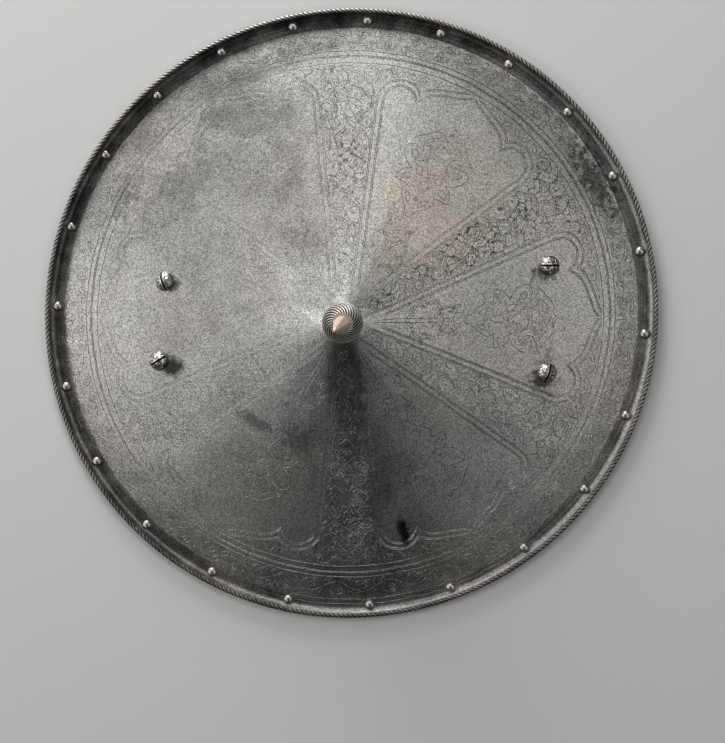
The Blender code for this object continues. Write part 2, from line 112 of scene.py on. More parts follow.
# Steels: cool and warm tint, roughness, how bright a groove stays under the dirt in the plate's etching and
# the painted shade in the rope's gaps, the boss's flutes and the screws' slots, grain, metal, stains and
# painted light
STEELS = {
    "etched_steel": ((0.37, 0.375, 0.357), (0.415, 0.4, 0.376), 0.35, 0.28, 1, 1, PLATE_STAINS_AND_PAINTED_LIGHT),
    "back_steel": ((0.13, 0.13, 0.125), (0.2, 0.18, 0.155), 0.5, 0.6, 1, 1),
    "roped_steel": ((0.56, 0.56, 0.53), (0.62, 0.59, 0.54), 0.32, 0.04, 0.7, 1),
    "boss_steel": ((0.62, 0.58, 0.52), (0.66, 0.59, 0.5), 0.36, 0.015, 0.4, 0.85),
    "tip_steel": ((0.78, 0.6, 0.47), (0.8, 0.6, 0.5), 0.55, 0.05, 0.9, 0.45),
    "rivet_steel": ((0.44, 0.44, 0.41), (0.5, 0.47, 0.43), 0.3, 0.3, 0.12, 1),
    "screw_steel": ((0.74, 0.73, 0.69), (0.76, 0.72, 0.66), 0.32, 0.04, 0.2, 1),
    "nut_steel": ((0.16, 0.16, 0.15), (0.22, 0.2, 0.175), 0.45, 0.5, 1, 1),
}
GROUND_SHADE = 0.91

# Floor
FLOOR_HALF_WIDTH = 9000
FLOOR_TINT = (0.72, 0.72, 0.71)
FLOOR_ROUGHNESS = 0.9

# Plate, with the same sizes as its solid
RIM_RADIUS = 290
PLATE_THICKNESS = 1.5
DISH_RISE = 87.5
SEAT_RADIUS = 15.5
LAND_WIDTH = 8.1
TURN_RADIUS = 9
TURN_ANGLE = math.radians(54)
BEAD_RADIUS = 2.1
FLARE_SHARE = 0.13
ROLL_SHARE = 0.06
FLARE_POWER = 5
TANG_HOLE_RADIUS = 5.8
OUT_OF_ROUND = 2.3
LONG_AXIS_ANGLE = math.radians(34)
CLEARANCE = 0.3
BEAD_CENTRE_RADIUS = RIM_RADIUS - BEAD_RADIUS
BEAD_REACH = math.sqrt(BEAD_RADIUS**2 - (PLATE_THICKNESS / 2) ** 2)
TURN_MIDDLE_RADIUS = TURN_RADIUS + PLATE_THICKNESS / 2
TURN_START = (
    BEAD_CENTRE_RADIUS
    - TURN_MIDDLE_RADIUS * math.sin(TURN_ANGLE)
    - BEAD_REACH * math.cos(TURN_ANGLE)
)
TURN_CENTRE_HEIGHT = PLATE_THICKNESS + TURN_RADIUS
BEAD_CENTRE_HEIGHT = (
    TURN_CENTRE_HEIGHT
    - TURN_MIDDLE_RADIUS * math.cos(TURN_ANGLE)
    + BEAD_REACH * math.sin(TURN_ANGLE)
)
LAND_START = TURN_START - LAND_WIDTH
SEAT_HEIGHT = PLATE_THICKNESS + DISH_RISE

# The raised plate is never quite even: low waves left by the hammer
WAVE_COUNT = 9
WAVE_HEIGHT = 0.07
WAVE_LENGTHS = (38, 95)
WAVE_FADES = (20, 12)
WAVE_SEED = 11

# Mesh of the plate; its edge runs a little way into the bead
EDGE_ANGLE = math.radians(60)
UPPER_SPACING = 9
UNDER_SPACING = 14
BASE_CLEARANCE = 1.8
BLOT_AREA = 0.5
BLOT_SHARE = 0.3
FLAT_SHARE = 0.02
EDGE_SIDES = 288
HOLE_SIDES = 24
TURN_STATIONS = 6
ROWS_AT_ONCE = 4000

# Engraved lines
LONG_STEP = 7
EDGE_STEP = 3
CURVE_STEP = 2.3
LINE_HALF_WIDTH = 0.38
LINE_DEPTH = 0.18
RING_DEPTH = 0.22
RING_LINES = (238.6, 244.1, 245.3, 249.7, 272.3, 277)
BAND_COUNT = 6
BAND_FIRST_ANGLE = math.radians(30)
BAND_ROOT_HALF_WIDTH = 9.9
BAND_SPREAD = 0.115
BAND_LINE_OFFSETS = (0, 1.4, 5.6, 7.0)
BAND_LINE_START = 17
FRAME_GAP = 1.4
FRAME_MARGIN = 0.7
RING_MARGIN = 0.9
FINE_HALF_WIDTH = 0.34
FINE_DEPTH = 0.12
GROUND_DEPTH = 0.1
HAND_SWAY = 0.16
FOOT_DEEPENING = 0.6

# How much of the etching is left: most at the lower right and on the border, with worn patches
WEAR_ANGLE = math.radians(-28)
WEAR_MEAN = 0.7
WEAR_SWING = 0.32
WEAR_PATCHES = 0.14
WEAR_BORDER = (6, 0.3)
WEAR_LEAST = 0.34

# Painted shade in the turned-up rim, thickest at the upper left, dirt on the border beside it, and painted
# shade on the rope, darker towards its foot
RIM_SHADE_START = 266
RIM_SHADE_ANGLE = math.radians(140)
BORDER_DIRT_START = 240
BORDER_DIRT_ANGLE = math.radians(108)
DIRT_AND_SHADE_EASE = 11
RIM_SHADE = 0.17
RIM_SHADE_SWING = 0.29
BORDER_DIRT = 0.24
MOST_DIRT_AND_SHADE = 0.7
ROPE_SHADE = 0.6

# Panels between the bands. Rows of the lobe and the ogee give a radius, degrees off the middle of
# the panel, and how far both move for each millimetre that the line lies outside the first one.
PANEL_SIDE_END = 203
PANEL_SIDE_POINTS = 18
PANEL_VARIATION = 0.03
PANEL_LOBE = (
    (212, 20.3, 0.2, 0.27),
    (218, 19.0, 0.7, 0.2),
    (221, 16.6, 1.0, 0.0),
    (217.5, 13.9, 1.1, 0.0),
    (209, 12.2, 1.6, 0.0),
)
PANEL_OGEE = (
    (215, 11.0, 1.3, 0.0),
    (222, 8.0, 1.0, 0.0),
    (226, 4.0, 1.0, 0.0),
    (230, 1.5, 1.0, 0.0),
    (234.5, 0.0, 1.0, 0.0),
)

# Half of the cartouche and what is on it: out from the centre, and across
CARTOUCHE = (
    ((197, 0), (193.5, 2), (191, 5)),
    ((191, 5), (192.5, 10), (190, 16), (184, 22), (177, 30)),
    ((177, 30), (176.5, 24), (173, 18), (169, 15)),
    ((169, 15), (170.5, 20), (171.5, 27), (167, 32), (159, 29), (154, 24), (151, 17)),
    ((151, 17), (149, 22), (143, 26), (137, 27)),
    ((137, 27), (136.5, 20), (136, 13)),
    ((136, 13), (131, 16), (125, 13), (116, 4.6), (110, 3)),
)
CARTOUCHE_INNER = (
    ((190.5, 0), (187, 3), (185.3, 6)),
    ((185.3, 6), (186.5, 10), (184, 14.5), (179, 19)),
    ((179, 19), (176.5, 13.5), (172, 9.8), (165, 10.2), (161, 13.5), (159.5, 18)),
    ((159.5, 18), (161.5, 23), (166, 26), (167, 21.5), (164.5, 17)),
)
CARTOUCHE_LEAVES = (
    (((182.5, 0), (180.8, 3), (177.8, 3.2)), ((177.8, 3.2), (178.5, 7), (174.6, 8.4), (172, 5), (171.6, 0))),
    (((168, 0), (168.6, 4), (166.4, 8), (162.2, 8.6), (160.6, 4.6)), ((160.6, 4.6), (156, 4), (152.5, 0))),
    (((150, 6), (154.4, 8.6), (157, 13), (153, 13.6), (148.4, 10.6), (150, 6)),),
    (((146.5, 0), (144.6, 3.2), (139, 3.4), (132, 0)),),
    (((146.6, 16.6), (144, 21.4), (139.6, 22.8), (140.4, 17.6), (143, 14.6), (146.6, 16.6)),),
    (((131, 11.6), (126.4, 9.4), (122, 5), (127.6, 5), (131, 11.6)),),
)
CARTOUCHE_GROUND = 0.84
CARTOUCHE_REACH = 50
PANEL_CUTS = (1, 1, 1, 1, 1.5, 2)
CARTOUCHE_MIDDLE = (160, 0)
CARTOUCHE_BALLS = ((149.5, 0, 1.5), (176.4, 11.8, 1.3), (128.6, 0, 1.6), (200.6, 0, 1.4))
STEM_LINES = (
    ((107.6, 3.4), (106, 6), (102.6, 6.6), (100.2, 4), (101.6, 1.6)),
    ((101.6, 1.6), (95, 1.3), (89.2, 1.4), (89.4, 4.4), (88, 7.6), (86.8, 4.6), (86.6, 1.4)),
    ((86.6, 1.4), (74, 1.8), (60, 1.9), (45, 1.5), (30, 1.1)),
)
VOLUTES = (
    ((57, 1.8), (62, 6), (63.5, 11), (67.5, 16), (73, 17.4), (75.6, 14.4), (73, 11.8), (70.6, 13.4)),
    ((78, 1.8), (84, 4.4), (88.6, 9.6), (95, 12.4), (99.6, 10.4), (98.4, 7.4), (95.6, 8.2)),
)
VOLUTE_HALF_WIDTHS = (1.15, 0.55)
STEM_LEAVES = (
    (63, 9.6, 118, 7.5),
    (69, 17, 70, 7),
    (75.8, 15.4, 12, 8),
    (88, 9.2, 112, 7),
    (99.8, 10.8, 30, 7.5),
)
STEM_LEAF_SHARE = 0.22

# Bands of trophies, and the small leaves between the panels' peaks and the first ring
BAND_START = 30
BAND_MARGIN = 1.2
BAND_REACH = (22.5, RING_LINES[0] - RING_MARGIN)
FLARE_START = PANEL_SIDE_END + 8
FLARE_SPREAD = 0.9
TROPHY_SIZE = 5.2
TROPHY_SCALES = (0.62, 1.3)
TROPHY_SEED = 5
TROPHY_TILT = 65
TROPHY_SHIFTS = (2.2, 1.2)
TROPHY_PACKING = 2.3
COLUMN_HALF_WIDTH = 6.4
POLE_HALF_WIDTH = 0.95
POLE_PLACES = range(48, 225, 22)
POLE_TILTS = (38, 62)
SPANDREL_LEAVES = 132
SPANDREL_RADIUS = 232.5
SPANDREL_TILT = 55

# Running scroll, with a flower, a curl and four leaves in each turn. Each leaf has its share of the
# turn, how far across it stands, and its heading
BORDER_REACH = (RING_LINES[3] + RING_MARGIN, RING_LINES[4] - RING_MARGIN)
FLOWER_DROP = 2.6
FLOWER_RADIUS = 1.9
FLOWER_LOBE = 0.5
PETALS = 5
CURL_SWEEP = (0.1, 4.6)
CURL_REACH = 6.9
CURL_TIGHTENING = 0.62
CURL_SQUASH = 0.88
SCROLL_LEAVES = ((0.02, 6.2, 118), (0.98, 6.2, 60), (0.5, 8.6, 12), (0.22, 1.2, -60))
SCROLL_TURNS = 32
SCROLL_SWING = 5.2
SCROLL_STEM = 0.85
SCROLL_SEED = 9
SCROLL_STEPS = 11

# Roped edge
STRAND_COUNT = 407
STRANDS_PER_TURN = 3
STRAND_STEPS = ((0, 0), (0.18, 0.75), (0.5, 1), (0.82, 0.75))
STRAND_DEPTH = 0.75
ROPE_SIDES = 12

# Boss and spike
BOSS_RADIUS = 18.8
BOSS_FOOT_DROP = 11.8
BOSS_NECK_RISE = 16
BOSS_CENTRE_HEIGHT = SEAT_HEIGHT + CLEARANCE + BOSS_FOOT_DROP
FLUTE_COUNT = 26
FLUTE_STEPS = 8
FLUTE_DEPTH = 2
FLUTE_TWIST = 1
FLUTE_SHARPNESS = 1.1
FLUTE_FOOT_FADE = 0.15
FLUTE_NECK_FADE = 0.12
FLUTE_NECK_SHARE = 0.6
BOSS_RINGS = 30
SPIKE_LENGTH = 102
SPIKE_HALF_DIAGONAL = 9.6
SPIKE_TURN = math.radians(-5)
SPIKE_RINGS = 14
SPIKE_RING_POWER = 1.2
SPIKE_END = 0.35
SPIKE_CORNER = 0.83
SPIKE_CORNER_SWING = 0.05
TANG_RADIUS = 5.5
TANG_HEAD_RADIUS = 9
TANG_HEAD_EDGE = 1.2
TANG_HEAD_BEVEL = 1.8
TANG_END_RADIUS = 0.5

# Rivets
RIVET_HEAD_RADIUS = 4.75
RIVET_HEAD_HEIGHT = 3.8
RIVET_SHANK_RADIUS = 1.5
RIVET_TAIL_RADIUS = 2.2
RIVET_TAIL_DEPTH = 0.9
RIVET_SIDES = 40
RIVET_RINGS = 10
RIVET_LEAN = 0.06
RIVET_FULLNESS = 0.9
RIVET_END_RADIUS = 0.2

# Strap screws
SCREW_HEAD_RADIUS = 9.25
SCREW_HEAD_HEIGHT = 7.5
SCREW_EDGE_HEIGHT = 1.2
SCREW_SLOT_WIDTH = 2.2
SCREW_SLOT_DEPTH = 2.6
SLOT_END = 0.3
SLOT_LIP = 0.06
SLOT_MARGIN = 0.4
SLOT_POINTS = 15
SCREW_SHANK_BEVEL = 0.6
SCREW_SHANK_RADIUS = 3
SCREW_END_DEPTH = 8.9
SCREW_SIDES = 56
SCREW_RINGS = 10
PETAL_COUNT = 8
PETAL_REACH = (2.2, 8.1)
PETAL_HALF_WIDTH = 1.75
PETAL_LINE_HALF_WIDTH = 0.4
PETAL_LINE_DEPTH = 0.45
SCREW_EDGE_LINE = 8.7

# Each screw: its radius on the plate, its angle, and the angle of its slot
SCREWS = {
    "upper_left": (175, 168.9, 107),
    "lower_left": (182, 193.1, 32),
    "upper_right": (193.5, 14.6, 0),
    "lower_right": (193.5, 344.6, 70),
}
NUT_BEVEL = 0.9


# Shapes


def polar(radius, angle):
    """Plan points at these radii and angles."""
    return np.stack([radius * np.cos(angle), radius * np.sin(angle)], axis=1)


def even_angles(count):
    return 2 * math.pi * np.arange(count) / count


def circle(radius, sides, start=0.0):
    return polar(radius, start + even_angles(sides))


def in_sector(along, across, angle):
    """Plan points given along and across a line from the centre at this angle."""
    c, s = math.cos(angle), math.sin(angle)
    return np.stack([along * c - across * s, along * s + across * c], axis=1)


def plan_scale(angle):
    """How far the plate stands out or in at this angle, as a share of its true radius."""
    return 1 + OUT_OF_ROUND / RIM_RADIUS * np.cos(2 * (angle - LONG_AXIS_ANGLE))


def smooth(points, step=CURVE_STEP):
    """A smooth curve through the points, as short even steps."""
    points = np.asarray(points, float)
    if len(points) == 2:
        count = max(2, math.ceil(np.hypot(*(points[1] - points[0])) / (2 * step)))
        return points[0] + (points[1] - points[0]) * np.linspace(0, 1, count + 1)[:, None]
    ends = 2 * points[0] - points[1], 2 * points[-1] - points[-2]
    knots = np.vstack([ends[0], points, ends[1]])
    spans = np.sqrt(np.hypot(*np.diff(knots, axis=0).T))
    line = [points[:1]]
    for i in range(1, len(knots) - 2):
        before, span, after = spans[i - 1 : i + 2]
        last, run, following = np.diff(knots[i - 1 : i + 3], axis=0)
        enter = last / before - (knots[i + 1] - knots[i - 1]) / (before + span) + run / span
        leave = run / span - (knots[i + 2] - knots[i]) / (span + after) + following / after
        count = max(1, round(span**2 / step))
        t = (np.arange(1, count + 1) / count)[:, None]
        curve = (2 * t**3 - 3 * t**2 + 1) * knots[i] + (3 * t**2 - 2 * t**3) * knots[i + 1]
        line.append(curve + (t**3 - 2 * t**2 + t) * enter * span + (t**3 - t**2) * leave * span)
    return np.vstack(line)


def cusped(runs):
    """Smooth runs that meet in corners."""
    lines = [smooth(run) for run in runs]
    return np.vstack([line[:-1] for line in lines] + [lines[-1][-1:]])


def both_halves(half):
    """A closed outline from one half; points on the middle line aren't doubled."""
    first = 1 if half[0, 1] == 0 else 0
    last = -1 if half[-1, 1] == 0 else None
    return np.vstack([half, (half * (1, -1))[first:last][::-1]])


def turned(points, degrees):
    angle = math.radians(degrees)
    c, s = math.cos(angle), math.sin(angle)
    return np.asarray(points, float) @ np.array([[c, s], [-s, c]])


def ribbon(line, half_widths):
    """The outline of a band along a line, tapering from the first half width to the second."""
    line = np.asarray(line, float)
    ahead = np.gradient(line, axis=0)
    ahead /= np.linalg.norm(ahead, axis=1, keepdims=True)
    reach = np.linspace(*half_widths, len(line))[:, None]
    side = np.stack([-ahead[:, 1], ahead[:, 0]], axis=1) * reach
    return np.vstack([line + side, (line - side)[::-1]])


def leaf_outline(length, width, lobes):
    """A lobed leaf from its stalk to its tip, along x."""
    share = np.linspace(0, 1, 3 * lobes + 1)
    edge = np.sin(math.pi * share**0.75) * (0.72 + 0.28 * np.abs(np.sin(math.pi * lobes * share)))
    half = np.stack([length * share, width * edge], axis=1)
    half[0, 1] = half[-1, 1] = 0
    return both_halves(half)


def by_hand(points):
    """Moves plan points very slightly, as a line cut by hand sways."""
    points = np.asarray(points, float)
    x, y = points.T
    sway_x = np.sin(0.24 * x + 0.11 * y + 1) + np.sin(0.09 * x - 0.27 * y + 4)
    sway_y = np.sin(0.21 * y - 0.13 * x + 2) + np.sin(0.26 * y + 0.07 * x + 5)
    return points + HAND_SWAY * np.stack([sway_x, sway_y], axis=1)


def inside(places, outline):
    """Which places lie inside a closed outline."""
    x, y = places[:, :1], places[:, 1:]
    start, end = outline, np.roll(outline, -1, axis=0)
    rise = end[:, 1] - start[:, 1]
    crosses = (start[:, 1] > y) != (end[:, 1] > y)
    meet = start[:, 0] + (y - start[:, 1]) * (end[:, 0] - start[:, 0]) / np.where(rise == 0, 1, rise)
    return np.sum(crosses & (x < meet), axis=1) % 2 == 1


def stretch_plan(points):
    """Moves points from the true round to the plate's slightly long plan."""
    points = np.array(points, float)
    points[:, :2] *= plan_scale(np.arctan2(points[:, 1], points[:, 0]))[:, None]
    return points


def upper_height(radius):
    """Height of the plate's upper face, from the boss's seat out to the bead."""
    out = np.clip((radius - SEAT_RADIUS) / (LAND_START - SEAT_RADIUS), 0, 1)
    cone = (1 - FLARE_SHARE - ROLL_SHARE) * (1 - out)
    flare = FLARE_SHARE * (1 - out) ** FLARE_POWER
    roll = ROLL_SHARE * (1 - out**FLARE_POWER)
    past = np.clip(radius - TURN_START, 0, TURN_RADIUS * 0.95)
    turn = TURN_RADIUS - np.sqrt(TURN_RADIUS**2 - past**2)
    return PLATE_THICKNESS + DISH_RISE * (cone + flare + roll) + turn


def hammer_waves(x, y):
    """Slight unevenness of the dish, fading out at the boss's seat and at the land."""
    pick = random.Random(WAVE_SEED)
    total = np.zeros_like(x)
    for _ in range(WAVE_COUNT):
        heading = pick.uniform(0, 2 * math.pi)
        length = pick.uniform(*WAVE_LENGTHS)
        phase = pick.uniform(0, 2 * math.pi)
        along = x * math.cos(heading) + y * math.sin(heading)
        total += WAVE_HEIGHT * np.sin(2 * math.pi * along / length + phase)
    radius = np.hypot(x, y)
    start, end = WAVE_FADES
    fade = np.clip((radius - SEAT_RADIUS) / start, 0, 1) * np.clip((LAND_START - radius) / end, 0, 1)
    return total * fade


def dish_slope(radius):
    """How steeply the dish falls away at this radius."""
    span = LAND_START - SEAT_RADIUS
    out = (radius - SEAT_RADIUS) / span
    flare = FLARE_SHARE * FLARE_POWER * (1 - out) ** (FLARE_POWER - 1)
    roll = ROLL_SHARE * FLARE_POWER * out ** (FLARE_POWER - 1)
    return math.atan(DISH_RISE / span * (1 - FLARE_SHARE - ROLL_SHARE + flare + roll))


def upper_face(x, y):
    return upper_height(np.hypot(x, y)) + hammer_waves(x, y)


def under_face(x, y):
    """Height of the plate's lower face, a plate's thickness behind the upper one."""
    radius = np.hypot(x, y)
    step = 0.2
    slope = (upper_height(radius + step) - upper_height(radius - step)) / (2 * step)
    dish = upper_height(radius) - PLATE_THICKNESS * np.sqrt(1 + slope**2) + hammer_waves(x, y)
    past = np.clip(radius - TURN_START, 0, (TURN_RADIUS + PLATE_THICKNESS) * 0.95)
    turn = TURN_CENTRE_HEIGHT - np.sqrt((TURN_RADIUS + PLATE_THICKNESS) ** 2 - past**2)
    return np.where(radius < TURN_START, dish, turn)


def surface_normals(height, x, y, reach=0.3):
    """Unit normals of the surface z = height(x, y)."""
    along_x = (height(x + reach, y) - height(x - reach, y)) / (2 * reach)
    along_y = (height(x, y + reach) - height(x, y - reach)) / (2 * reach)
    normals = np.stack([-along_x, -along_y, np.ones_like(along_x)], axis=1)
    return normals / np.linalg.norm(normals, axis=1, keepdims=True)


def dome_height(radius, height, reach):
    """Height of a spherical cap of this radius and height at this distance from its middle."""
    sphere = (radius**2 + height**2) / (2 * height)
    return np.sqrt(np.maximum(sphere**2 - reach**2, 0)) - (sphere - height)


# Meshes


def mesh_from(name, points, faces, smooth_angle=None):
    """A mesh from points in millimetres, smooth but for edges sharper than the angle."""
    mesh = bpy.data.meshes.new(name)
    mesh.from_pydata((np.asarray(points, float) * MM).tolist(), [], faces)
    mesh.update()
    mesh.shade_smooth()
    if smooth_angle:
        mesh.set_sharp_from_angle(angle=math.radians(smooth_angle))
    return mesh


def skin(rings, closed=False, caps=False):
    """Quads between equal rings of points."""
    sides = len(rings[0])
    faces = []
    count = len(rings) if closed else len(rings) - 1
    for row in range(count):
        low = row * sides
        high = (row + 1) % len(rings) * sides
        for i in range(sides):
            j = (i + 1) % sides
            faces.append((low + i, low + j, high + j, high + i))
    if caps:
        faces.append(tuple(range(sides))[::-1])
        faces.append(tuple(range((len(rings) - 1) * sides, len(rings) * sides)))
    return faces


def level_ring(radius, height, sides, start=0.0):
    return np.column_stack([circle(radius, sides, start), np.full(sides, float(height))])


def level_rings(profile, sides):
    """Level rings from pairs of a radius and a height."""
    return [level_ring(radius, height, sides) for radius, height in profile]


def store(mesh, name, values):
    attribute = mesh.attributes.new(name, "FLOAT", "POINT")
    attribute.data.foreach_set("value", np.asarray(values, np.float32))


def set_normals(mesh, point_normals, flat_faces):
    """Shades faces by their points' normals, and the flat ones by their own."""
    loops = np.empty(len(mesh.loops), np.int32)
    mesh.loops.foreach_get("vertex_index", loops)
    totals = np.empty(len(mesh.polygons), np.int32)
    mesh.polygons.foreach_get("loop_total", totals)
    own = np.empty(3 * len(mesh.polygons), np.float32)
    mesh.polygons.foreach_get("normal", own)
    owner = np.repeat(np.arange(len(totals)), totals)
    normals = np.where(flat_faces[owner][:, None], own.reshape(-1, 3)[owner], point_normals[loops])
    mesh.normals_split_custom_set(normals.tolist())


def add_piece(name, mesh, materials, slot, *replaced):
    """A finished piece that rides with the shield."""
    piece = bpy.data.objects.new(name, mesh)
    bpy.context.scene.collection.objects.link(piece)
    for material in materials:
        mesh.materials.append(material)
    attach(piece, BODY)
    if replaced:
        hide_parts(*replaced)
    return piece


# Engraving


class Engraving:
    """Lines and shapes drawn in plan, ready to be cut into a surface. Shapes drawn first lie in front."""

    def __init__(self):
        self.points = []
        self.edges = []
        self.cuts = []
        self.shapes = []
        self.boxes = []
        self.grounds = []
        self.reach = (0, RIM_RADIUS)

    def add_points(self, points):
        first = len(self.points)
        self.points.extend(map(tuple, points))
        return first

    def add_chain(self, indices, closed=False):
        self.edges.extend(zip(indices[:-1], indices[1:]))
        if closed:
            self.edges.append((indices[-1], indices[0]))

    def add_loop(self, points):
        first = self.add_points(points)
        self.add_chain(list(range(first, first + len(points))), closed=True)
        return first

    def groove(self, line, half_width=LINE_HALF_WIDTH, depth=LINE_DEPTH, closed=False):
        """Cuts a groove along a line of points. Returns the first index of its middle."""
        line = np.asarray(line, float)
        if len(line) == 2:
            line = np.array([line[0], line.mean(axis=0), line[1]])
        ahead = np.roll(line, -1, axis=0) - line
        if not closed:
            ahead[-1] = ahead[-2]
        ahead /= np.linalg.norm(ahead, axis=1, keepdims=True)
        behind = np.roll(ahead, 1, axis=0)
        if not closed:
            behind[0] = ahead[0]
        along = ahead + behind
        along /= np.maximum(np.linalg.norm(along, axis=1, keepdims=True), 0.6)
        side = np.stack([-along[:, 1], along[:, 0]], axis=1) * half_width
        first = self.add_points(line)
        middle = list(range(first, first + len(line)))
        self.add_chain(middle, closed)
        inner = slice(None) if closed else slice(1, -1)
        for sign in (1, -1):
            lip = line[inner] + sign * side[inner]
            start = self.add_points(lip)
            chain = list(range(start, start + len(lip)))
            if not closed:
                chain = [middle[0]] + chain + [middle[-1]]
            self.add_chain(chain, closed)
        following = np.roll(line, -1, axis=0)
        last = len(line) if closed else len(line) - 1
        for i in range(last):
            open_start = not closed and i == 0
            open_end = not closed and i == last - 1
            self.cuts.append((*line[i], *following[i], half_width, depth, open_start, open_end))
        return first

    def cover(self, outline):
        """What is drawn later is hidden inside this outline."""
        self.shapes.append(outline)
        self.boxes.append((*outline.min(axis=0), *outline.max(axis=0)))

    def covered(self, places):
        """Which places lie in a shape drawn so far."""
        hidden = np.zeros(len(places), bool)
        if self.boxes:
            low, high = places.min(axis=0), places.max(axis=0)
            boxes = np.array(self.boxes)
            near = (boxes[:, :2] <= high).all(axis=1) & (boxes[:, 2:] >= low).all(axis=1)
            for number in np.flatnonzero(near):
                box = boxes[number]
                rows = np.flatnonzero(((places >= box[:2]) & (places <= box[2:])).all(axis=1) & ~hidden)
                if len(rows):
                    hidden[rows] = inside(places[rows], self.shapes[number])
        return hidden

    def hidden(self, places):
        radius = np.hypot(places[:, 0], places[:, 1])
        return self.covered(places) | (radius < self.reach[0]) | (radius > self.reach[1])

    def visible(self, line):
        """The stretches of a line that nothing in front of it hides."""
        hides = self.hidden(line)
        if not hides.any():
            return [line]
        if np.allclose(line[0], line[-1]):
            turn = int(np.argmax(hides))
            line = np.vstack([line[turn:-1], line[: turn + 1]])
            hides = np.concatenate([hides[turn:-1], hides[: turn + 1]])
        stretches, run = [], []
        for i, point in enumerate(line):
            if i and hides[i] != hides[i - 1]:
                shown, lost = (line[i - 1], point) if hides[i] else (point, line[i - 1])
                for _ in range(5):
                    middle = (shown + lost) / 2
                    shown, lost = (shown, middle) if self.hidden(middle[None])[0] else (middle, lost)
                if np.hypot(*(shown - (run[-1] if run else point))) > 0.1:
                    run.append(shown)
                if hides[i]:
                    stretches.append(run)
                    run = []
            if not hides[i]:
                run.append(point)
        stretches.append(run)
        stretches = [np.array(run) for run in stretches if len(run) > 1]
        return [run for run in stretches if np.hypot(*np.diff(run, axis=0).T).sum() > 0.8]

    def shape(self, outline, details=(), half_width=FINE_HALF_WIDTH, depth=FINE_DEPTH):
        """A closed shape and the lines on it, behind what is drawn already."""
        outline = np.asarray(outline, float)
        for line in [np.vstack([outline, outline[:1]]), *details]:
            for stretch in self.visible(np.asarray(line, float)):
                whole = len(stretch) > 3 and np.allclose(stretch[0], stretch[-1])
                self.groove(stretch[:-1] if whole else stretch, half_width, depth, whole)
        self.cover(outline)

    def triangulate(self):
        """Places, triangles, and where each drawn point went."""
        made = geometry.delaunay_2d_cdt([Vector(p) for p in self.points], self.edges, [], 0, 1e-4)
        places = np.array([tuple(p) for p in made[0]])
        home = np.full(len(self.points), -1)
        for new, olds in enumerate(made[3]):
            home[olds] = new
        return places, np.array(made[2]), home

    def cut_depths(self, places):
        """How deep each place is cut, and the share of its groove's full depth."""
        if not self.cuts:
            return np.zeros(len(places)), np.zeros(len(places))
        cuts = np.array(self.cuts)
        spans = np.hypot(cuts[:, 2] - cuts[:, 0], cuts[:, 3] - cuts[:, 1])
        pieces = np.maximum(1, np.ceil(spans / 1.6)).astype(int)
        owner = np.repeat(np.arange(len(cuts)), pieces)
        step = np.concatenate([(np.arange(n) + 0.5) / n for n in pieces])[:, None]
        tree = point_tree(cuts[owner, 0:2] * (1 - step) + cuts[owner, 2:4] * step)
        near = min(7, len(owner))
        found = np.empty((len(places), near), int)
        for row, (x, y) in enumerate(places):
            found[row] = [hit[1] for hit in tree.find_n((x, y, 0), near)]
        found = owner[found]
        start = cuts[found, 0:2]
        run = cuts[found, 2:4] - start
        to_place = places[:, None, :] - start
        share = np.sum(to_place * run, axis=2) / np.maximum(np.sum(run * run, axis=2), 1e-9)
        gap = np.linalg.norm(to_place - np.clip(share, 0, 1)[..., None] * run, axis=2)
        half_width = cuts[found, 4]
        fall = np.clip(1 - gap / half_width, 0, 1)
        from_start = share * spans[found] / half_width
        from_end = (1 - share) * spans[found] / half_width
        fall *= np.clip(from_start, 0, 1) ** cuts[found, 6] * np.clip(from_end, 0, 1) ** cuts[found, 7]
        return (fall * cuts[found, 5]).max(axis=1), fall.max(axis=1)


def point_tree(points):
    tree = kdtree.KDTree(len(points))
    for i, (x, y) in enumerate(points):
        tree.insert((x, y, 0), i)
    tree.balance()
    return tree


# Plate


def base_points(spacing, turn_radius):
    """Even points over the plate's plan, in rings."""
    rings = []
    for row, radius in enumerate(np.arange(TANG_HOLE_RADIUS + spacing, LAND_START - spacing / 2, spacing)):
        sides = round(2 * math.pi * radius / spacing)
        rings.append(circle(radius, sides, math.pi / sides * (row % 2)))
    radii = [LAND_START, LAND_START + LAND_WIDTH / 2]
    for i in range(TURN_STATIONS):
        radii.append(TURN_START + turn_radius * math.sin(EDGE_ANGLE * i / TURN_STATIONS))
    rings += [circle(radius, EDGE_SIDES) for radius in radii]
    return np.vstack(rings)


def cut_plan(drawing, base, outer, inner=None):
    """Triangles over a plan that keep its drawn lines, and the vertices of its outer and inner edges."""
    if drawing.points:
        tree = point_tree(drawing.points)
        base = np.array([p for p in base if tree.find((p[0], p[1], 0))[2] > BASE_CLEARANCE])
    drawing.add_points(base)
    first_outer = drawing.add_loop(outer)
    first_inner = drawing.add_loop(inner) if inner is not None else 0
    places, triangles, home = drawing.triangulate()
    loops = [home[first_outer : first_outer + len(outer)]]
    if inner is not None:
        middles = places[triangles].mean(axis=1)
        triangles = triangles[~inside(middles, inner)]
        loops.append(home[first_inner : first_inner + len(inner)])
    return places, triangles, loops


def split_blots(drawing, places, triangles):
    """Splits wide triangles whose corners all lie in grooves, so that their middles stay uncut."""
    share = drawing.cut_depths(places)[1]
    a, b, c = (places[triangles[:, i]] for i in range(3))
    (run_x, run_y), (side_x, side_y) = (b - a).T, (c - a).T
    area = 0.5 * np.abs(run_x * side_y - run_y * side_x)
    wide = (share[triangles].min(axis=1) > BLOT_SHARE) & (area > BLOT_AREA)
    middle = np.arange(len(places), len(places) + wide.sum())
    places = np.vstack([places, (a + b + c)[wide] / 3])
    i, j, k = triangles[wide].T
    fans = [np.stack(three, axis=1) for three in ((i, j, middle), (j, k, middle), (k, i, middle))]
    return places, np.vstack([triangles[~wide], *fans])


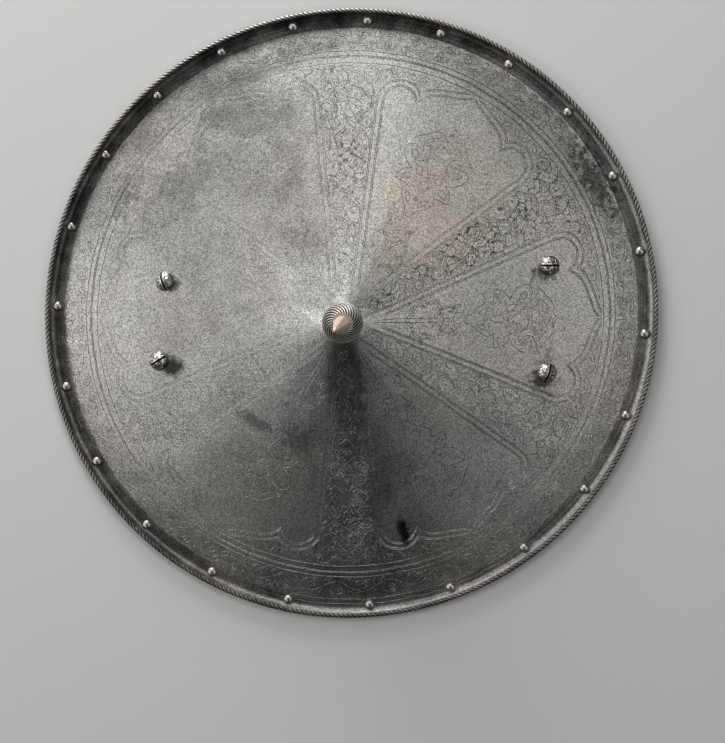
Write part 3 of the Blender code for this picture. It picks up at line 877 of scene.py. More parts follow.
def plate_plan(drawing, spacing, turn_radius):
    outer = circle(TURN_START + turn_radius * math.sin(EDGE_ANGLE), EDGE_SIDES)
    return cut_plan(drawing, base_points(spacing, turn_radius), outer, circle(TANG_HOLE_RADIUS, HOLE_SIDES))


def draw_rings(drawing):
    for radius in RING_LINES:
        line = by_hand(circle(radius, round(2 * math.pi * radius / LONG_STEP)))
        drawing.groove(line, depth=RING_DEPTH, closed=True)


def panel_edge(offset):
    """One side of a panel's frame, from the boss to its peak, this far outside the panel.

    Points are out from the centre and across the panel. The side follows the band's straight border,
    rounds over in a lobe, and runs from the cusp up to the peak.
    """
    half = math.pi / BAND_COUNT
    along = np.linspace(BAND_LINE_START, PANEL_SIDE_END, PANEL_SIDE_POINTS)
    across = BAND_ROOT_HALF_WIDTH + BAND_SPREAD * along - offset
    side = np.stack([np.hypot(along, across), half - np.arctan2(across, along)], axis=1)
    side = side[side[:, 0] * np.sin(side[:, 1]) > FRAME_GAP]
    runs = [side]
    for run in (PANEL_LOBE, PANEL_OGEE):
        table = np.array(run)
        radius = table[:, 0] + offset * table[:, 2]
        degrees = table[:, 1] + offset * table[:, 3]
        runs.append(np.stack([radius, np.radians(degrees)], axis=1))
    runs[1] = np.vstack([side[-1:], runs[1]])
    runs[2] = np.vstack([runs[1][-1:], runs[2]])
    flat = [polar(*run.T) for run in runs]
    line = np.vstack([flat[0][:-1], smooth(flat[1], EDGE_STEP)[:-1], smooth(flat[2], EDGE_STEP)])
    return line[np.hypot(line[:, 0], line[:, 1]) < RING_LINES[0] - LINE_HALF_WIDTH]


def draw_frame(drawing, angle):
    """The lines round a panel. What is drawn later stays outside them."""
    for offset in BAND_LINE_OFFSETS:
        edge = panel_edge(offset)
        for side in (1, -1):
            drawing.groove(by_hand(in_sector(edge[:, 0], side * edge[:, 1], angle)))
    outline = both_halves(panel_edge(BAND_LINE_OFFSETS[-1] + FRAME_MARGIN))
    drawing.cover(by_hand(in_sector(*outline.T, angle)))


def draw_panel(drawing, angle, number):
    """A cartouche on a stem, and the volutes that spring from the stem."""
    grow = 1 + PANEL_VARIATION * math.sin(2.4 * number)

    def put(lines, closed=False, half_width=FINE_HALF_WIDTH, depth=FINE_DEPTH):
        for line in lines:
            place = by_hand(in_sector(line[:, 0], grow * line[:, 1], angle))
            drawing.groove(place, half_width, depth * PANEL_CUTS[number], closed)

    def put_pair(line, closed=False):
        put([line, line * (1, -1)], closed)

    outline = both_halves(cusped(CARTOUCHE))
    put([outline], True, LINE_HALF_WIDTH, LINE_DEPTH)
    ground = CARTOUCHE_GROUND * (outline - CARTOUCHE_MIDDLE) + CARTOUCHE_MIDDLE
    leaves = [both_halves(cusped(runs)) for runs in CARTOUCHE_LEAVES]
    drawing.grounds.append((in_sector(*ground.T, angle), [in_sector(*leaf.T, angle) for leaf in leaves]))
    put_pair(cusped(CARTOUCHE_INNER))
    for runs in CARTOUCHE_LEAVES:
        leaf = cusped(runs)
        if leaf[0, 1] == 0:
            put([both_halves(leaf)], True)
        else:
            put_pair(leaf[:-1], True)
    for along, across, radius in CARTOUCHE_BALLS:
        ball = circle(radius, 9) + (along, across)
        put([ball] if across == 0 else [ball, ball * (1, -1)], True)
    for run in STEM_LINES:
        put_pair(smooth(run))
    for run in VOLUTES:
        put_pair(ribbon(smooth(run), VOLUTE_HALF_WIDTHS), True)
    for along, across, heading, length in STEM_LEAVES:
        leaf = leaf_outline(length, STEM_LEAF_SHARE * length, 2)
        put_pair(turned(leaf, heading) + (along, across), True)


def ring(radius, sides, stretch=(1, 1)):
    loop = circle(radius, sides) * stretch
    return np.vstack([loop, loop[:1]])


def drawn(runs, *lines):
    """A motif from its outline, or from a half that ends on the middle line, and the lines on it."""
    outline = cusped(runs)
    outline = both_halves(outline) if outline[-1, 1] == 0 else outline[:-1]
    return outline, [smooth(line) for line in lines]


def trophies():
    """Arms and shields, each as an outline along x and the lines on it."""
    buckler = circle(5.3, 18), [ring(4, 14), ring(1.3, 7)]
    rib = smooth(((-5.2, 0), (0, 0.5), (5.2, 0)))
    oval_shield = circle(1, 18) * (7, 4.8), [ring(1, 14, (5.4, 3.4)), rib]
    heater_shield = drawn(
        (((6.6, 0), (5.6, 1.8), (6.2, 4.6)), ((6.2, 4.6), (2, 5.2), (-3, 3.8), (-7.2, 0))),
        ((4.6, 3), (0.5, 0.6), (-4, -1.8)),
        ((4.4, -2.6), (2, -1), (0.6, 0.6)),
    )
    helmet = drawn(
        (
            ((-5.4, -3.8), (-6.2, 0.5), (-4.2, 4.6), (0.6, 6), (4.6, 4), (5.6, 0.4), (8, -1.4)),
            ((8, -1.4), (3.6, -2), (-0.5, -3), (-5.4, -3.8)),
        ),
        ((-5.8, -1.4), (0, -0.4), (5.4, 0.8)),
        ((-4.4, 3.2), (-1, 4), (3.4, 2.8)),
    )
    cuirass = drawn(
        (
            ((6.6, 1.6), (6.2, 3), (7.4, 4.4)),
            ((7.4, 4.4), (4.4, 5.2), (3.4, 3.8), (-0.8, 3), (-3.4, 4.6), (-6.6, 4.6)),
            ((-6.6, 4.6), (-7.2, 2), (-7.4, 0)),
        ),
        ((-1, -3), (-1.8, 0), (-1, 3)),
        ((5.4, -2), (4, 0), (5.4, 2)),
        ((3.6, 0), (-0.8, 0)),
    )
    drum = drawn(
        (((-5.2, 0), (-4.8, 2.4), (-3.6, 4)), ((-3.6, 4), (3.8, 4)), ((3.8, 4), (5.2, 2.4), (5.6, 0))),
        ((3.8, 4), (2.6, 2), (2.4, 0), (2.6, -2), (3.8, -4)),
        ((-3.2, -3.8), (-1.6, 3.6)),
        ((-1.2, 3.6), (0.8, -3.8)),
    )
    banner = drawn(
        (
            ((-7, -2.6), (-3, -4.6), (1.6, -2.4), (6.6, -4.2)),
            ((6.6, -4.2), (5.4, 0), (7, 3.6)),
            ((7, 3.6), (2, 5), (-2.4, 2.6), (-6.6, 4.4)),
            ((-6.6, 4.4), (-5.6, 1), (-7, -2.6)),
        ),
        ((-5.4, 0.8), (-1.6, -1.2), (2, 1.2), (5.2, -0.2)),
    )
    arc = np.radians(np.linspace(38, 322, 18))
    crescent = np.vstack([polar(5.2, arc), (4 * polar(1, arc) + (1.6, 0))[::-1]]), []
    horn = drawn(
        (((-8, 0.9), (0, 1.3), (4.6, 2), (7.4, 4.2)), ((7.4, 4.2), (8.2, 2), (8.4, 0))),
        ((6.2, 3), (6.8, 0), (6.2, -3)),
        ((-3, 1.1), (-3, -1.1)),
    )
    quiver = drawn(
        (((-7, 0), (-6.6, 2)), ((-6.6, 2), (3.4, 3)), ((3.4, 3), (7.6, 3.8), (7.2, 1.4), (8.4, 0))),
        ((3.4, 3), (3.9, 0), (3.4, -3)),
        ((-4, 2.2), (-3.7, 0), (-4, -2.2)),
    )
    shields = buckler, oval_shield, heater_shield
    return *shields, helmet, cuirass, drum, banner, crescent, horn, quiver, banner


def pole(length):
    """A spear: a shaft and its blade."""
    tip = length / 2
    shaft = ((-tip, POLE_HALF_WIDTH), (tip - 8, POLE_HALF_WIDTH))
    blade = ((tip - 8, POLE_HALF_WIDTH), (tip - 6.4, 2.6), (tip, 0))
    return drawn((shaft, blade), ((tip - 7, 0), (tip - 1.4, 0)))


def band_half_width(along):
    """Half the width of a band between its border lines."""
    return BAND_ROOT_HALF_WIDTH + BAND_SPREAD * along - BAND_LINE_OFFSETS[-1]


def draw_band(drawing, angle, number):
    """Trophies heaped along a band: arms and shields in front, poles and leaves behind them."""
    pick = random.Random(TROPHY_SEED + number)

    def put(motif, size, heading, along, across):
        outline, details = motif
        flip = (1, pick.choice((1, -1)))
        lines = []
        for line in (outline, *details):
            line = turned(np.asarray(line) * size * flip, heading) + (along, across)
            lines.append(by_hand(in_sector(*line.T, angle)))
        drawing.shape(lines[0], lines[1:])

    motifs = trophies()
    leaf = leaf_outline(13, 3.4, 3) - (6.5, 0), [smooth(((-6, 0), (0, 0.4), (5, 0)))]
    along = BAND_START
    gaps = []
    last = None
    while along < BAND_REACH[1] - 3:
        half = band_half_width(along) - BAND_MARGIN
        if along > FLARE_START:
            half += FLARE_SPREAD * (along - FLARE_START)
        columns = max(1, round(half / COLUMN_HALF_WIDTH))
        size = min(max(half / columns / TROPHY_SIZE, TROPHY_SCALES[0]), TROPHY_SCALES[1])
        for column in range(columns):
            shift, sway = TROPHY_SHIFTS
            across = ((column + 0.5) / columns * 2 - 1) * half + pick.uniform(-sway, sway)
            last = pick.choice([motif for motif in motifs if motif is not last])
            heading = pick.choice((0, 180)) + pick.uniform(-TROPHY_TILT, TROPHY_TILT)
            shift = pick.uniform(-shift, shift)
            put(last, size * pick.uniform(0.84, 1.02), heading, along + shift, across)
            gaps.append((along + TROPHY_SIZE * size, across + half / columns * pick.choice((-1, 1)), size))
        along += TROPHY_PACKING * TROPHY_SIZE * size
    for along in POLE_PLACES:
        tilt = pick.choice((1, -1)) * pick.uniform(*POLE_TILTS)
        put(pole(3.2 * band_half_width(along) + 12), 1, tilt, along, pick.uniform(-2, 2))
    for along, across, size in gaps:
        put(leaf, size * pick.uniform(0.7, 0.95), pick.uniform(0, 360), along, across)


def draw_spandrels(drawing):
    for number in range(SPANDREL_LEAVES):
        angle = 2 * math.pi * (number + 0.5) / SPANDREL_LEAVES
        heading = SPANDREL_TILT if number % 2 else -SPANDREL_TILT
        leaf = turned(leaf_outline(9, 2.3, 2) - (4.5, 0), heading) + (SPANDREL_RADIUS, 0)
        drawing.shape(by_hand(in_sector(*leaf.T, angle)))


def draw_border(drawing):
    """A running scroll between two of the rings, with a flower and leaves in each turn."""
    middle = sum(BORDER_REACH) / 2
    half = math.pi * middle / SCROLL_TURNS

    def bent(line):
        return by_hand(polar(middle + line[:, 1], line[:, 0] / middle))

    for turn in range(2 * SCROLL_TURNS):
        up = 1 if turn % 2 == 0 else -1
        along = np.linspace(0, half, SCROLL_STEPS)
        stem = np.stack([half * turn + along, up * SCROLL_SWING * np.sin(math.pi * along / half)], axis=1)
        edge = bent(ribbon(stem, (SCROLL_STEM, SCROLL_STEM)))
        for line in (edge[:SCROLL_STEPS], edge[SCROLL_STEPS:]):
            drawing.groove(line, FINE_HALF_WIDTH, FINE_DEPTH)
        drawing.cover(edge)
    pick = random.Random(SCROLL_SEED)
    for turn in range(2 * SCROLL_TURNS):
        up = 1 if turn % 2 == 0 else -1
        start = half * turn
        heart = np.array([start + 0.5 * half, -FLOWER_DROP * up])
        size = pick.uniform(0.9, 1.08)
        petals = even_angles(2 * PETALS)
        flower = polar((FLOWER_RADIUS + FLOWER_LOBE * np.cos(PETALS * petals)) * size, petals)
        drawing.shape(bent(flower + heart))
        sweep = np.linspace(*CURL_SWEEP, 12)
        reach = size * (CURL_REACH - CURL_TIGHTENING * sweep)
        curl_x = heart[0] - reach * np.cos(sweep)
        curl_y = heart[1] - up * CURL_SQUASH * reach * np.sin(sweep)
        drawing.shape(bent(ribbon(np.stack([curl_x, curl_y], axis=1), (0.9, 0.5))))
        for share, across, heading in SCROLL_LEAVES:
            leaf = leaf_outline(pick.uniform(7, 9.4), 2.4, 2)
            leaf = turned(leaf, heading + pick.uniform(-18, 18)) * (1, -up)
            drawing.shape(bent(leaf + (start + share * half, -up * (across - 3.4))))


def wear(places):
    """How much of the etching is left at each place."""
    x, y = places.T
    facing = WEAR_MEAN + WEAR_SWING * np.cos(np.arctan2(y, x) - WEAR_ANGLE)
    patches = np.sin(0.041 * x + 0.7) * np.sin(0.037 * y + 2.1) + 0.6 * np.sin(0.09 * x - 0.07 * y)
    ease, added = WEAR_BORDER
    border = np.clip((np.hypot(x, y) - PANEL_OGEE[-1][0]) / ease, 0, 1)
    return np.clip(facing + WEAR_PATCHES * patches + added * border, WEAR_LEAST, 1)


def dirt_and_shade(x, y):
    """How much painted shade there is in the rim and dirt on the border, at a place in plan."""
    radius, angle = np.hypot(x, y), np.arctan2(y, x)
    # Painted shade in the turned-up rim, darkest at the upper left
    rim = np.clip((radius - RIM_SHADE_START) / DIRT_AND_SHADE_EASE, 0, 1)
    rim *= RIM_SHADE + RIM_SHADE_SWING * (1 + np.cos(angle - RIM_SHADE_ANGLE))
    border = BORDER_DIRT * np.clip((radius - BORDER_DIRT_START) / DIRT_AND_SHADE_EASE, 0, 1)
    return np.minimum(rim + border * np.maximum(0, np.cos(angle - BORDER_DIRT_ANGLE)) ** 4, MOST_DIRT_AND_SHADE)


def sunk_ground(drawing, places, triangles):
    """The places that lie wholly in the sunk ground between the shapes of the bands and the border."""
    middles = places[triangles].mean(axis=1)
    radius = np.hypot(middles[:, 0], middles[:, 1])
    ornament = np.zeros(len(middles), bool)
    for low, high in (BAND_REACH, BORDER_REACH):
        ornament |= (radius > low) & (radius < high)
    rows = np.flatnonzero(ornament)
    raised = np.ones(len(middles), bool)
    for start in range(0, len(rows), ROWS_AT_ONCE):
        part = rows[start : start + ROWS_AT_ONCE]
        raised[part] = drawing.covered(middles[part])
    for outline, leaves in drawing.grounds:
        near = np.abs(middles - outline.mean(axis=0)) < CARTOUCHE_REACH
        rows = np.flatnonzero(near.all(axis=1))
        rows = rows[inside(middles[rows], outline)]
        raised[rows] = np.any([inside(middles[rows], leaf) for leaf in leaves], axis=0)
    sunk = np.ones(len(places), bool)
    sunk[triangles[raised]] = False
    return sunk.astype(float)


def draw_plate():
    """All that is engraved on the plate, in the order in which it lies from front to back."""
    drawing = Engraving()
    draw_rings(drawing)
    turns = even_angles(BAND_COUNT)
    for turn in turns:
        draw_frame(drawing, turn)
    for number, turn in enumerate(turns):
        draw_panel(drawing, turn, number)
    drawing.reach = BAND_REACH
    for number, turn in enumerate(turns):
        draw_band(drawing, turn + BAND_FIRST_ANGLE, number)
    draw_spandrels(drawing)
    drawing.reach = BORDER_REACH
    draw_border(drawing)
    return drawing


def build_plate(upper_steel, under_steel):
    drawing = draw_plate()
    places, triangles, loops = plate_plan(drawing, UPPER_SPACING, TURN_RADIUS)
    places, triangles = split_blots(drawing, places, triangles)
    left = wear(places)
    depth, share = drawing.cut_depths(places)
    ground = sunk_ground(drawing, places, triangles)
    x, y = places.T
    footward = (1 - np.sin(np.arctan2(y, x))) / 2
    lowered = np.maximum(depth, GROUND_DEPTH * ground) * left * (1 + FOOT_DEEPENING * footward)
    upper = np.column_stack([stretch_plan(places), upper_face(x, y) - lowered])
    below = plate_plan(Engraving(), UNDER_SPACING, TURN_RADIUS + PLATE_THICKNESS)
    under_places, under_triangles, under_loops = below
    under_x, under_y = under_places.T
    under = np.column_stack([stretch_plan(under_places), under_face(under_x, under_y)])
    shift = len(upper)
    faces = triangles.tolist() + (under_triangles[:, ::-1] + shift).tolist()
    for loop, under_loop, turn in ((loops[0], under_loops[0], 1), (loops[1], under_loops[1], -1)):
        for i in range(len(loop)):
            j = (i + 1) % len(loop)
            quad = (loop[i], under_loop[i] + shift, under_loop[j] + shift, loop[j])
            faces.append(tuple(int(k) for k in quad[::turn]))
    mesh = mesh_from("plate", np.vstack([upper, under]), faces)
    blank = np.zeros(len(under))
    # The grooves' dark fill thins towards the foot of the plate: a painted lightening where the lines catch
    # the light
    marks = {"groove": share * left * (1 - footward), "ground": ground * left, "dirt_and_shade": dirt_and_shade(x, y)}
    for name, values in marks.items():
        store(mesh, name, np.concatenate([values, blank]))
    flat = np.ones(len(faces), bool)
    flat[: len(triangles)] = share[triangles].max(axis=1) > FLAT_SHARE
    flat[len(triangles) : len(triangles) + len(under_triangles)] = False
    upward = surface_normals(upper_face, x, y)
    downward = -surface_normals(under_face, under_x, under_y)
    set_normals(mesh, np.vstack([upward, downward]), flat)
    add_piece("plate", mesh, [upper_steel, under_steel], "plate_steel", "shield_plate")
    side = np.zeros(len(faces), np.int32)
    side[len(triangles) :] = 1
    mesh.polygons.foreach_set("material_index", side)


def build_rope(steel):
    """The bead along the edge, filed to look like a rope."""
    rows = STRAND_COUNT * len(STRAND_STEPS)
    shift = STRANDS_PER_TURN * len(STRAND_STEPS)
    around = even_angles(ROPE_SIDES)
    points = []
    for strand in range(STRAND_COUNT):
        for step, swell in STRAND_STEPS:
            angle = 2 * math.pi / STRAND_COUNT * (strand + step - STRANDS_PER_TURN * around / (2 * math.pi))
            thick = BEAD_RADIUS - STRAND_DEPTH * (1 - swell)
            reach = BEAD_CENTRE_RADIUS + thick * np.cos(around)
            height = BEAD_CENTRE_HEIGHT + thick * np.sin(around)
            points.append(np.column_stack([polar(reach, angle), height]))
    points = np.vstack(points)
    faces = []
    for row in range(rows):
        following = (row + 1) % rows
        for i in range(ROPE_SIDES):
            j = (i + 1) % ROPE_SIDES
            near, far = row, following
            if j == 0:
                near, far = (row - shift) % rows, (following - shift) % rows
            low, high = row * ROPE_SIDES + i, following * ROPE_SIDES + i
            faces.append((low, high, far * ROPE_SIDES + j, near * ROPE_SIDES + j))
    mesh = mesh_from("roped_edge", stretch_plan(points), faces)
    swells = np.tile([1 - swell for _, swell in STRAND_STEPS], STRAND_COUNT)
    # Dark between the strands: painted shade in the rope's gaps
    store(mesh, "groove", np.repeat(swells, ROPE_SIDES))
    bearings = np.arctan2(points[:, 1], points[:, 0])
    # Painted shade on the rope, darker towards the foot of the shield
    store(mesh, "dirt_and_shade", ROPE_SHADE * (1 - np.sin(bearings)) / 2)
    add_piece("roped_edge", mesh, [steel], "plate_steel", "shield_plate")


# Boss and spike


def build_spike(boss_steel, spike_steel):
    """The writhen boss with its spike above and its tang below, spread over behind the plate."""
    sides = FLUTE_COUNT * FLUTE_STEPS
    phase = np.arange(sides) % FLUTE_STEPS / FLUTE_STEPS
    furrow = 1 - np.sin(math.pi * phase) ** FLUTE_SHARPNESS
    behind = -BOSS_FOOT_DROP - PLATE_THICKNESS - 2 * CLEARANCE
    edge = behind - TANG_HEAD_EDGE
    profile = (
        (TANG_END_RADIUS, edge - TANG_HEAD_BEVEL),
        (TANG_HEAD_RADIUS - TANG_HEAD_BEVEL, edge - TANG_HEAD_BEVEL),
        (TANG_HEAD_RADIUS - 0.5 * TANG_HEAD_BEVEL, edge - 0.7 * TANG_HEAD_BEVEL),
        (TANG_HEAD_RADIUS, edge),
        (TANG_HEAD_RADIUS, behind),
        (TANG_RADIUS, behind),
        (TANG_RADIUS, -BOSS_FOOT_DROP),
    )
    rings = level_rings(profile, sides)
    grooves = [np.zeros(sides)] * len(rings)
    foot = math.acos(-BOSS_FOOT_DROP / BOSS_RADIUS)
    neck = math.acos(BOSS_NECK_RISE / BOSS_RADIUS)
    for down in np.linspace(foot, neck, BOSS_RINGS):
        fade = min(1, (foot - down) / FLUTE_FOOT_FADE, (down - neck) / FLUTE_NECK_FADE + FLUTE_NECK_SHARE)
        reach = (BOSS_RADIUS - FLUTE_DEPTH * fade * furrow) * math.sin(down)
        plan = polar(reach, even_angles(sides) + FLUTE_TWIST * down)
        rings.append(np.column_stack([plan, np.full(sides, BOSS_RADIUS * math.cos(down))]))
        grooves.append(furrow * fade)
    for i in range(SPIKE_RINGS):
        rise = (i / (SPIKE_RINGS - 1)) ** SPIKE_RING_POWER
        rings.append(spike_ring(sides, SPIKE_HALF_DIAGONAL * (1 - rise) + SPIKE_END * rise, rise))
        grooves.append(np.zeros(sides))
    points = np.vstack(rings)
    points[:, 2] += BOSS_CENTRE_HEIGHT
    mesh = mesh_from("boss_and_spike", points, skin(rings, caps=True), 50)
    # The furrows of the flutes are darkened: painted shade
    store(mesh, "groove", np.concatenate(grooves))
    add_piece("boss_and_spike", mesh, [boss_steel, spike_steel], "spike_steel", "spike")
    on_spike = np.zeros(len(mesh.polygons), np.int32)
    on_spike[(len(rings) - SPIKE_RINGS) * sides :] = 1
    mesh.polygons.foreach_set("material_index", on_spike)


def spike_ring(sides, half_diagonal, rise):
    """A square section of the spike, its corners slightly worn."""
    angle = even_angles(sides) + SPIKE_TURN
    side = (angle - SPIKE_TURN) % (math.pi / 2) - math.pi / 4
    corner = SPIKE_CORNER + SPIKE_CORNER_SWING * np.cos(4 * side)
    reach = half_diagonal * np.minimum(math.cos(math.pi / 4) / np.cos(side), corner)
    return np.column_stack([polar(reach, angle), np.full(sides, BOSS_NECK_RISE + SPIKE_LENGTH * rise)])


# Rivets


def build_rivets(steel):
    nodes = sorted(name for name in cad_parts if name.startswith("rim_rivet"))
    seat = PLATE_THICKNESS + CLEARANCE
    profile = (
        (RIVET_TAIL_RADIUS, CLEARANCE),
        (RIVET_SHANK_RADIUS, RIVET_TAIL_DEPTH),
        (RIVET_SHANK_RADIUS, seat),
    )
    for number, node in enumerate(nodes):
        low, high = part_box(node)
        middle = (low + high) / 2 / MM
        angle = math.atan2(middle.y, middle.x)
        true_radius = math.hypot(middle.x, middle.y) / float(plan_scale(angle))
        pick = random.Random(number)
        lean_x, lean_y = [pick.uniform(-RIVET_LEAN, RIVET_LEAN) for _ in range(2)]
        rings = level_rings(profile, RIVET_SIDES)
        for i in range(RIVET_RINGS):
            up = math.pi / 2 * i / RIVET_RINGS
            rim = level_ring(RIVET_HEAD_RADIUS * math.cos(up), 0, RIVET_SIDES)
            x, y = rim[:, 0], rim[:, 1]
            dome = seat + RIVET_HEAD_HEIGHT * math.sin(up) ** RIVET_FULLNESS
            tilt = 1 + lean_x * x / RIVET_HEAD_RADIUS + lean_y * y / RIVET_HEAD_RADIUS
            rim[:, 2] = np.maximum(seat + (dome - seat) * tilt, upper_height(true_radius + x) + CLEARANCE)
            rings.append(rim)
        rings.append(level_ring(RIVET_END_RADIUS, seat + RIVET_HEAD_HEIGHT, RIVET_SIDES))
        mesh = mesh_from(node + "_dressed", np.vstack(rings), skin(rings, caps=True), 50)
        mesh.transform(Matrix.Translation((middle.x * MM, middle.y * MM, 0)) @ Matrix.Rotation(angle, 4, "Z"))
        add_piece(node + "_dressed", mesh, [steel], "rivet_steel", node)


# Screws and nuts


def screw_plan():
    """The head seen from above: its slot, eight petals and the line round its edge."""
    drawing = Engraving()
    reach = SCREW_HEAD_RADIUS - SLOT_END
    half = SCREW_SLOT_WIDTH / 2
    x = np.linspace(-reach, reach, SLOT_POINTS)
    for across in (half, half - SLOT_LIP, SLOT_LIP - half, -half):
        first = drawing.add_points(np.stack([x, np.full(SLOT_POINTS, across)], axis=1))
        drawing.add_chain(list(range(first, first + SLOT_POINTS)))
    corner = np.array([SCREW_HEAD_RADIUS + 1, half + SLOT_MARGIN])
    drawing.cover(corner * CORNERS)
    low, high = PETAL_REACH
    petal = smooth(((low, 0), (low + 2.6, PETAL_HALF_WIDTH), (high - 1.6, 1.1), (high, 0)), 1)
    shapes = [turned(both_halves(petal), 360 * (i + 0.5) / PETAL_COUNT) for i in range(PETAL_COUNT)]
    for outline in (*shapes, circle(SCREW_EDGE_LINE, 40)):
        drawing.shape(outline, half_width=PETAL_LINE_HALF_WIDTH, depth=PETAL_LINE_DEPTH)
    base = [circle(SCREW_HEAD_RADIUS * i / SCREW_RINGS, 6 * i) for i in range(1, SCREW_RINGS)]
    places, triangles, loops = cut_plan(drawing, np.vstack(base), circle(SCREW_HEAD_RADIUS, SCREW_SIDES))
    depth, share = drawing.cut_depths(places)
    dome = CLEARANCE + SCREW_EDGE_HEIGHT - depth
    dome += dome_height(SCREW_HEAD_RADIUS, SCREW_HEAD_HEIGHT - SCREW_EDGE_HEIGHT, np.hypot(*places.T))
    floor = CLEARANCE + SCREW_HEAD_HEIGHT - SCREW_SLOT_DEPTH
    in_slot = (np.abs(places[:, 1]) < half - SLOT_LIP / 2) & (np.abs(places[:, 0]) < reach + 0.01)
    height = np.where(in_slot, np.minimum(dome, floor), dome)
    return np.column_stack([places, height]), triangles, loops[0], np.maximum(share, in_slot)


def build_screws(steel):
    head, triangles, rim, grooves = screw_plan()
    profile = (
        (SCREW_HEAD_RADIUS, CLEARANCE),
        (SCREW_SHANK_RADIUS, CLEARANCE),
        (SCREW_SHANK_RADIUS, SCREW_SHANK_BEVEL - SCREW_END_DEPTH),
        (SCREW_SHANK_RADIUS - SCREW_SHANK_BEVEL, -SCREW_END_DEPTH),
    )
    rings = level_rings(profile, SCREW_SIDES)
    below = np.vstack(rings)
    shift = len(head)
    faces = triangles.tolist()
    for i in range(SCREW_SIDES):
        j = (i + 1) % SCREW_SIDES
        faces.append((int(rim[i]), shift + i, shift + j, int(rim[j])))
    faces += [tuple(k + shift for k in face[::-1]) for face in skin(rings)]
    faces.append(tuple(range(shift + len(below) - SCREW_SIDES, shift + len(below)))[::-1])
    for name, (radius, degrees, slot) in SCREWS.items():
        node = "strap_screw_" + name
        angle = math.radians(degrees)
        mesh = mesh_from(node, np.vstack([head, below]), faces, 32)
        # Slot and petal lines darkened: painted shade in the slot, dirt in the lines
        store(mesh, "groove", np.concatenate([grooves, np.zeros(len(below))]))
        reach = radius * float(plan_scale(angle)) * MM
        seat = (reach * math.cos(angle), reach * math.sin(angle), float(upper_height(radius)) * MM)
        lean = Matrix.Rotation(angle, 4, "Z") @ Matrix.Rotation(dish_slope(radius), 4, "Y")
        turn = Matrix.Rotation(math.radians(slot - degrees), 4, "Z")
        mesh.transform(Matrix.Translation(seat) @ lean @ turn)
        add_piece(node + "_dressed", mesh, [steel], "screw_steel", node)


def dress_nuts(steel):
    for name in SCREWS:
        nut = bpy.data.objects["strap_nut_" + name]
        if not nut.material_slots:
            nut.data.materials.append(steel)
        for slot in nut.material_slots:
            slot.material = steel
        weld = nut.modifiers.new("weld", "WELD")
        weld.merge_threshold = 0.00001
        bevel = nut.modifiers.new("bevel", "BEVEL")
        bevel.width = NUT_BEVEL * MM
        bevel.segments = 2
        bevel.limit_method = "ANGLE"


# Materials


class Finish:
    """Wires the nodes of one steel."""

    def __init__(self, name):
        self.material = bpy.data.materials.new(name)
        self.material.use_nodes = True
        self.nodes = self.material.node_tree.nodes
        self.links = self.material.node_tree.links
        self.shader = self.nodes["Principled BSDF"]
        self.place = self.nodes.new("ShaderNodeTexCoord").outputs["Object"]

    def feed(self, socket, value):
        if isinstance(value, bpy.types.NodeSocket):
            self.links.new(value, socket)
        elif isinstance(value, tuple):
            socket.default_value = (*value, 1)
        else:
            socket.default_value = value

    def noise(self, size, detail=3, roughness=0.55, seed=0.0):
        """Soft noise in patches of about this many millimetres."""
        node = self.nodes.new("ShaderNodeTexNoise")
        node.noise_dimensions = "4D"
        settings = {"Scale": 1 / (size * MM), "Detail": detail, "Roughness": roughness, "W": seed}
        for name, value in settings.items():
            node.inputs[name].default_value = value
        self.links.new(self.place, node.inputs["Vector"])
        return node.outputs["Fac"]

    def math(self, operation, first, second):
        node = self.nodes.new("ShaderNodeMath")
        node.operation = operation
        self.feed(node.inputs[0], first)
        self.feed(node.inputs[1], second)
        return node.outputs[0]

    def span(self, value, low, high, start=0.0, end=1.0):
        """Eases a value from one span into another."""
        node = self.nodes.new("ShaderNodeMapRange")
        node.interpolation_type = "SMOOTHSTEP"
        settings = {"From Min": low, "From Max": high, "To Min": start, "To Max": end}
        for name, number in settings.items():
            node.inputs[name].default_value = number
        self.feed(node.inputs["Value"], value)
        return node.outputs["Result"]

    def attribute(self, name):
        node = self.nodes.new("ShaderNodeAttribute")
        node.attribute_name = name
        return node.outputs["Fac"]

    def mix(self, share, first, second):
        node = self.nodes.new("ShaderNodeMix")
        node.data_type = "RGBA"
        self.feed(node.inputs[0], share)
        self.feed(node.inputs[6], first)
        self.feed(node.inputs[7], second)
        return node.outputs[2]

    def dim(self, colour, amount):
        """The colour times an amount."""
        node = self.nodes.new("ShaderNodeVectorMath")
        node.operation = "SCALE"
        self.links.new(colour, node.inputs[0])
        self.feed(node.inputs["Scale"], amount)
        return node.outputs[0]

    def oval_patch(self, along, across, long, wide, degrees, ragged):
        """A soft-edged oval patch at a place in plan, its edge broken up by noise."""
        oval = self.nodes.new("ShaderNodeMapping")
        oval.vector_type = "TEXTURE"
        oval.inputs["Location"].default_value = (along * MM, across * MM, 0)
        oval.inputs["Rotation"].default_value = (0, 0, math.radians(degrees))
        oval.inputs["Scale"].default_value = (long * MM, wide * MM, 1000)
        self.links.new(self.place, oval.inputs["Vector"])
        length = self.nodes.new("ShaderNodeVectorMath")
        length.operation = "LENGTH"
        self.links.new(oval.outputs[0], length.inputs[0])
        sway = self.span(self.noise(wide / 2, 4), 0.3, 0.7, -ragged, ragged)
        edge = self.math("ADD", length.outputs["Value"], sway)
        return self.span(edge, 0.45, 1.15, 1, 0)

    def bump(self, height, depth, below):
        node = self.nodes.new("ShaderNodeBump")
        node.inputs["Distance"].default_value = depth * MM
        self.feed(node.inputs["Height"], height)
        if below:
            self.links.new(below, node.inputs["Normal"])
        return node.outputs["Normal"]

    def done(self, colour, roughness, normal):
        self.links.new(colour, self.shader.inputs["Base Color"])
        self.links.new(roughness, self.shader.inputs["Roughness"])
        self.links.new(normal, self.shader.inputs["Normal"])
        return self.material


